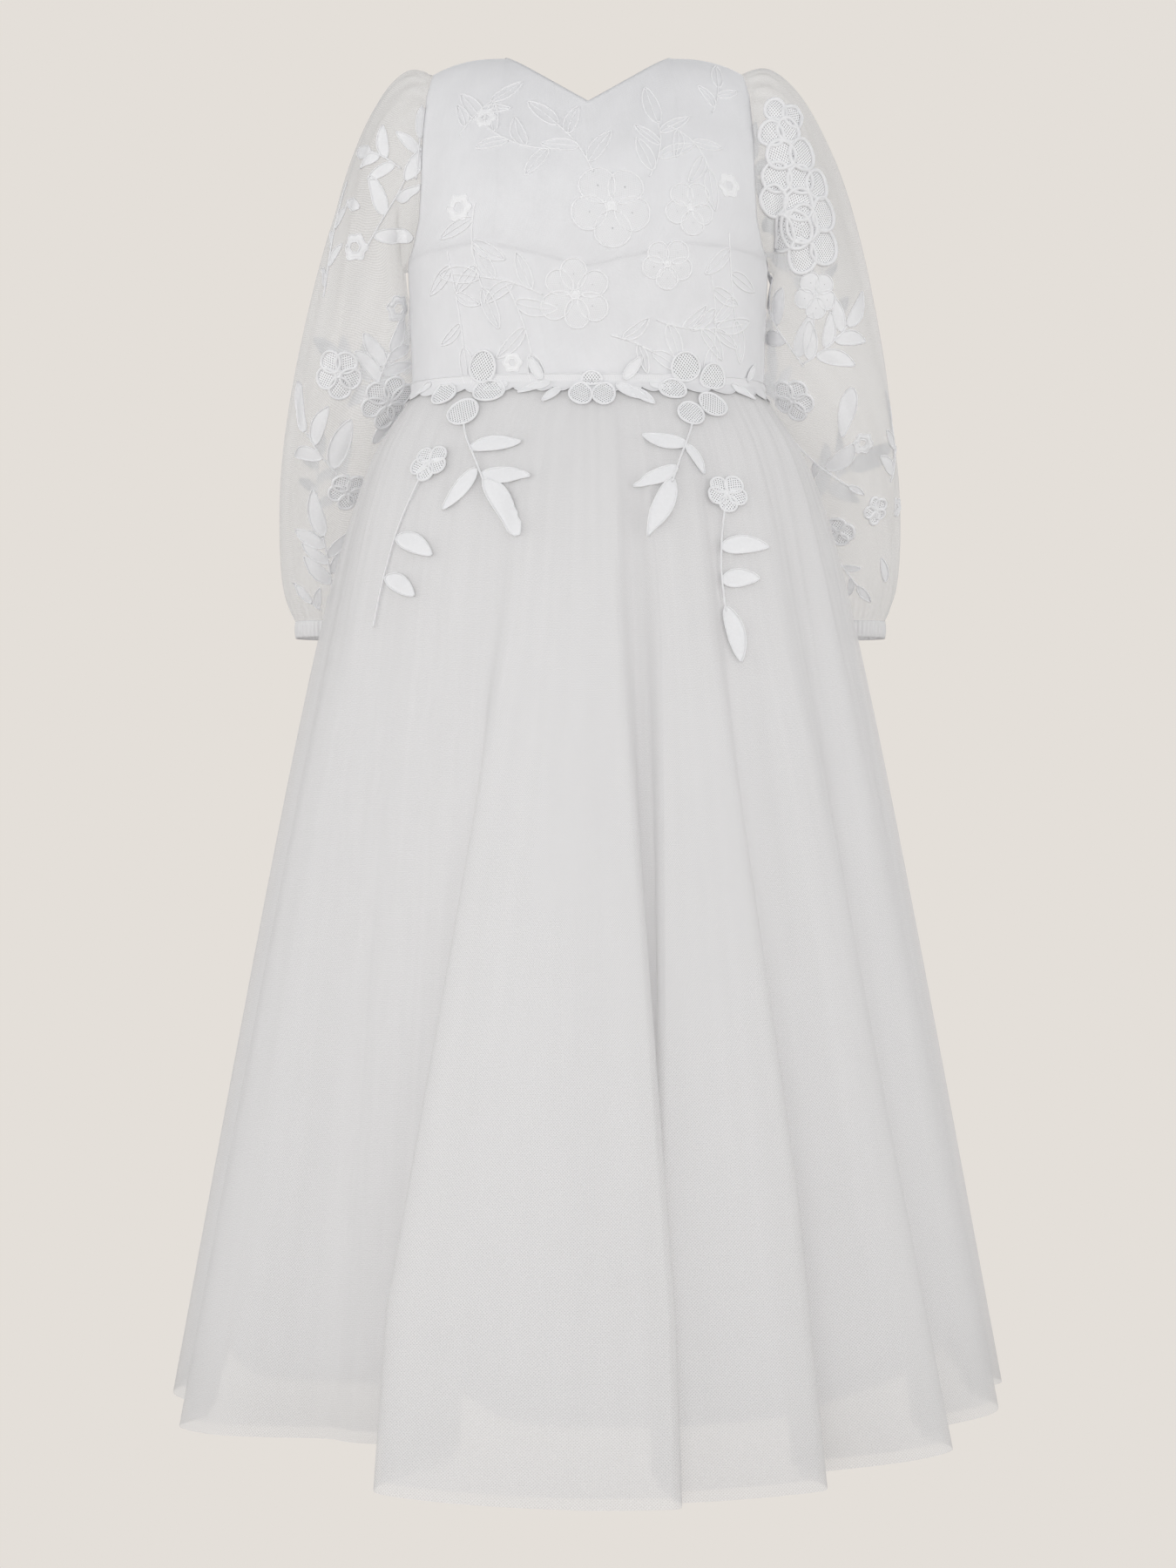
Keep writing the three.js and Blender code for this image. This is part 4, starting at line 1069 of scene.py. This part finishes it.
def waist_spot(tree, angle, down, turn=0):
    """A spot on the waist at an angle round it, so far below the seam."""
    t = math.radians(angle)
    eye = Vector((OUTSIDE * math.cos(t), OUTSIDE * math.sin(t), WAIST_Z - down))
    hit = tree.ray_cast(eye, Vector((-math.cos(t), -math.sin(t), 0)))[0]
    return Spot(tree, hit, DOWN).at(0, 0, turn)


def panel_at(spot):
    """The panel that a spot behind the waist is on, or None where it is too near the opening."""
    x, y = spot.point[:2]
    if abs(math.degrees(math.atan2(x, y))) <= OPENING:
        return None
    angle = math.degrees(math.atan2(y, x)) % 360
    return next(panel for panel, (start, end) in PANELS.items() if start <= angle <= end)


def waist_band(tree, lace, start, end):
    """A narrow band of lace ground along the seam, scalloped below, with a cord on each edge."""
    angles = np.linspace(start + 0.25, end - 0.25, round((end - start) * 2))
    scallop = SCALLOP * np.abs(np.sin(np.radians(angles) * SCALLOPS / 2)) ** 0.7
    share = np.linspace(0, 1, 10)[:, None]
    down = -BAND_ABOVE + share * (BAND_ABOVE + BAND_BELOW + scallop[None, :])
    spots = [[waist_spot(tree, angle, at) for angle, at in zip(angles, row)] for row in down]
    points = np.array([[spot.point for spot in row] for row in spots])
    normals = np.array([[spot.normal for spot in row] for row in spots])
    lace.add(points + normals * BAND_LIFT, np.stack([lengths_across(points), down], -1), GROUND)
    for edge in (0, -1):
        lace.cord(points[edge], normals[edge], BAND_CORD)


def waist_lace(tree):
    """Petals, leaves and a band of lace that hide the seam, one piece for each panel."""
    laces = {panel: Lace(lift=0.8) for panel in PANELS}
    for panel, (start, end) in PANELS.items():
        waist_band(tree, laces[panel], start, end)
    for row in WAIST_PETALS:
        spot = seen_at(tree, row.x, row.z, FRONT, row.heading)
        laces["front"].petal(spot, row.width, row.length)
    for row in WAIST_LEAVES:
        spot = seen_at(tree, row.x, row.z, FRONT, row.heading)
        laces["front"].leaf(spot, row.length, row.length * 0.36)
    rng = random.Random("hidden clusters")
    for i in range(HIDDEN_CLUSTERS):
        middle = BACK_SPAN[0] + (i + 0.5) * (BACK_SPAN[1] - BACK_SPAN[0]) / HIDDEN_CLUSTERS
        for _ in range(3):
            spot = waist_spot(tree, middle + rng.uniform(-6, 6), rng.uniform(-10, 14), rng.uniform(-20, 20))
            panel = panel_at(spot)
            if panel:
                laces[panel].petal(spot, rng.uniform(18, 23), rng.uniform(19, 24))
        for turn in (-60, 62, 25):
            spot = waist_spot(tree, middle + turn / 7, 0, -turn + rng.uniform(-12, 12))
            panel = panel_at(spot)
            if panel:
                laces[panel].leaf(spot, rng.uniform(20, 28), rng.uniform(7, 9.5))
    for panel, lace in laces.items():
        piece = lace.piece(f"waist_{panel}_lace", [THREAD, PETAL_NET, BODICE_NET])
        on_dress(piece, "guipure", f"waist_lace_{panel}")


# Each spray's root is at an angle round the dress, so far down from the waist. From it come the stem's
# points, across and down, the leaves, which add a heading, length and width, and the flower, a radius.
# Across and headings, in degrees from straight down, grow towards the wearer's left.
SPRAYS = table(
    "name angle down stem leaves flower",
    (
        "front_right", 235, 29,
        [(0, 0), (8, 16), (18, 32), (28, 50)],
        [(12, 24, 99, 40, 13), (25, 45, 80, 40, 13), (21, 40, -37, 42, 13), (28, 48, 31, 64, 17)],
        None,
    ),
    (
        "front_left", 299.5, 28,
        [(0, 0), (-10, 16), (-20, 34), (-29, 52)],
        [(-12, 22, -112, 36, 13), (-23, 40, -66, 38, 12), (-28, 49, -28, 56, 15), (-13, 22, 24, 28, 9)],
        None,
    ),
    (
        "side_right", 227.5, 65,
        [(0, 0), (-9, 24), (-19, 50), (-26, 84), (-30, 122)],
        [(-19, 54, 68, 42, 14), (-25, 84, 62, 38, 13)],
        (1, -2, 16),
    ),
    (
        "side_left", 304, 88,
        [(0, 0), (-6, 20), (-11, 42), (-14, 66), (-13, 88)],
        [(-11, 40, 90, 38, 14), (-14, 65, 88, 32, 14), (-13, 84, 9, 44, 15)],
        (0, -1, 16),
    ),
)


def skirt_lace(tree):
    """The four sprays of lace that hang from the waist over the front of the skirt."""
    for spray in SPRAYS:
        lace = Lace(lift=0.7)

        def spot(across, down, heading=0):
            share = (spray.down + down) / SKIRT_LENGTH
            around = skirt_point(np.array([spray.angle - 1, spray.angle + 1]), share)
            per_degree = np.linalg.norm(around[1] - around[0]) / 2
            point = skirt_point(spray.angle + across / per_degree, share)
            return Spot(tree, point, DOWN).at(0, 0, heading)

        run = curved_through(np.array(spray.stem, float), 6)
        lace.stem([spot(across, down) for across, down in run], 0.8)
        for across, down, heading, length, width in spray.leaves:
            lace.leaf(spot(across, down, heading), length, width, bend=0.05)
        if spray.flower:
            across, down, radius = spray.flower
            lace.flower(spot(across, down), radius, seed=3)
        piece = lace.piece(f"spray_{spray.name}_lace", [THREAD, PETAL_NET])
        on_dress(piece, "guipure", f"spray_{spray.name}")


bodice_lace(bodice_forms)
waist_tree = form_tree(waist_form())
waist_lace(waist_tree)
skirt_lace(waist_tree)
for side_name in SIDES:
    sleeve_lace(side_name, sleeve_forms[side_name])


# ---- the cut of each cloth
# The width, length and area in metres that each cloth was cut to, before it was gathered and sewn, and the
# cloth it rests on. A row with {side} in it is for both sides.
CUTS = table(
    "piece held width length area rests_on",
    ("bodice_front_cloth", "hung", 0.335, 0.266, 0.083, None),
    ("bodice_back_{side}_cloth", "hung", 0.168, 0.266, 0.0416, None),
    ("skirt_tulle_front_cloth", "gathered", 1.32, 0.79, 0.76, "bodice_front"),
    ("skirt_tulle_back_{side}_cloth", "gathered", 0.66, 0.79, 0.38, "bodice_back_{side}"),
    ("skirt_under_front_cloth", "gathered", 1.3, 0.78, 0.74, "bodice_front"),
    ("skirt_under_back_{side}_cloth", "gathered", 0.65, 0.78, 0.37, "bodice_back_{side}"),
    ("skirt_lining_front_cloth", "hung", 0.98, 0.745, 0.5, "bodice_front"),
    ("skirt_lining_back_{side}_cloth", "hung", 0.49, 0.745, 0.25, "bodice_back_{side}"),
    ("sleeve_{side}_cloth", "gathered", 0.36, 0.45, 0.128, "bodice_front"),
    ("cuff_{side}_cloth", "gathered", 0.2, 0.014, 0.0028, "sleeve_{side}"),
    ("waist_front_lace", "laid", 0.44, 0.055, 0.018, "skirt_tulle_front"),
    ("waist_back_{side}_lace", "laid", 0.22, 0.055, 0.0118, "skirt_tulle_back_{side}"),
    ("spray_front_right_lace", "laid", 0.075, 0.095, 0.0034, "skirt_tulle_front"),
    ("spray_front_left_lace", "laid", 0.07, 0.09, 0.0028, "skirt_tulle_front"),
    ("spray_side_right_lace", "laid", 0.07, 0.17, 0.0038, "skirt_tulle_front"),
    ("spray_side_left_lace", "laid", 0.06, 0.14, 0.0042, "skirt_tulle_front"),
)

for cut in CUTS:
    for side_name in SIDES if "{side}" in cut.piece else [None]:
        cut_piece = cut.piece.format(side=side_name)
        [cut.rests_on.format(side=side_name) + "_cloth"] if cut.rests_on else []

bpy.context.view_layer.update()
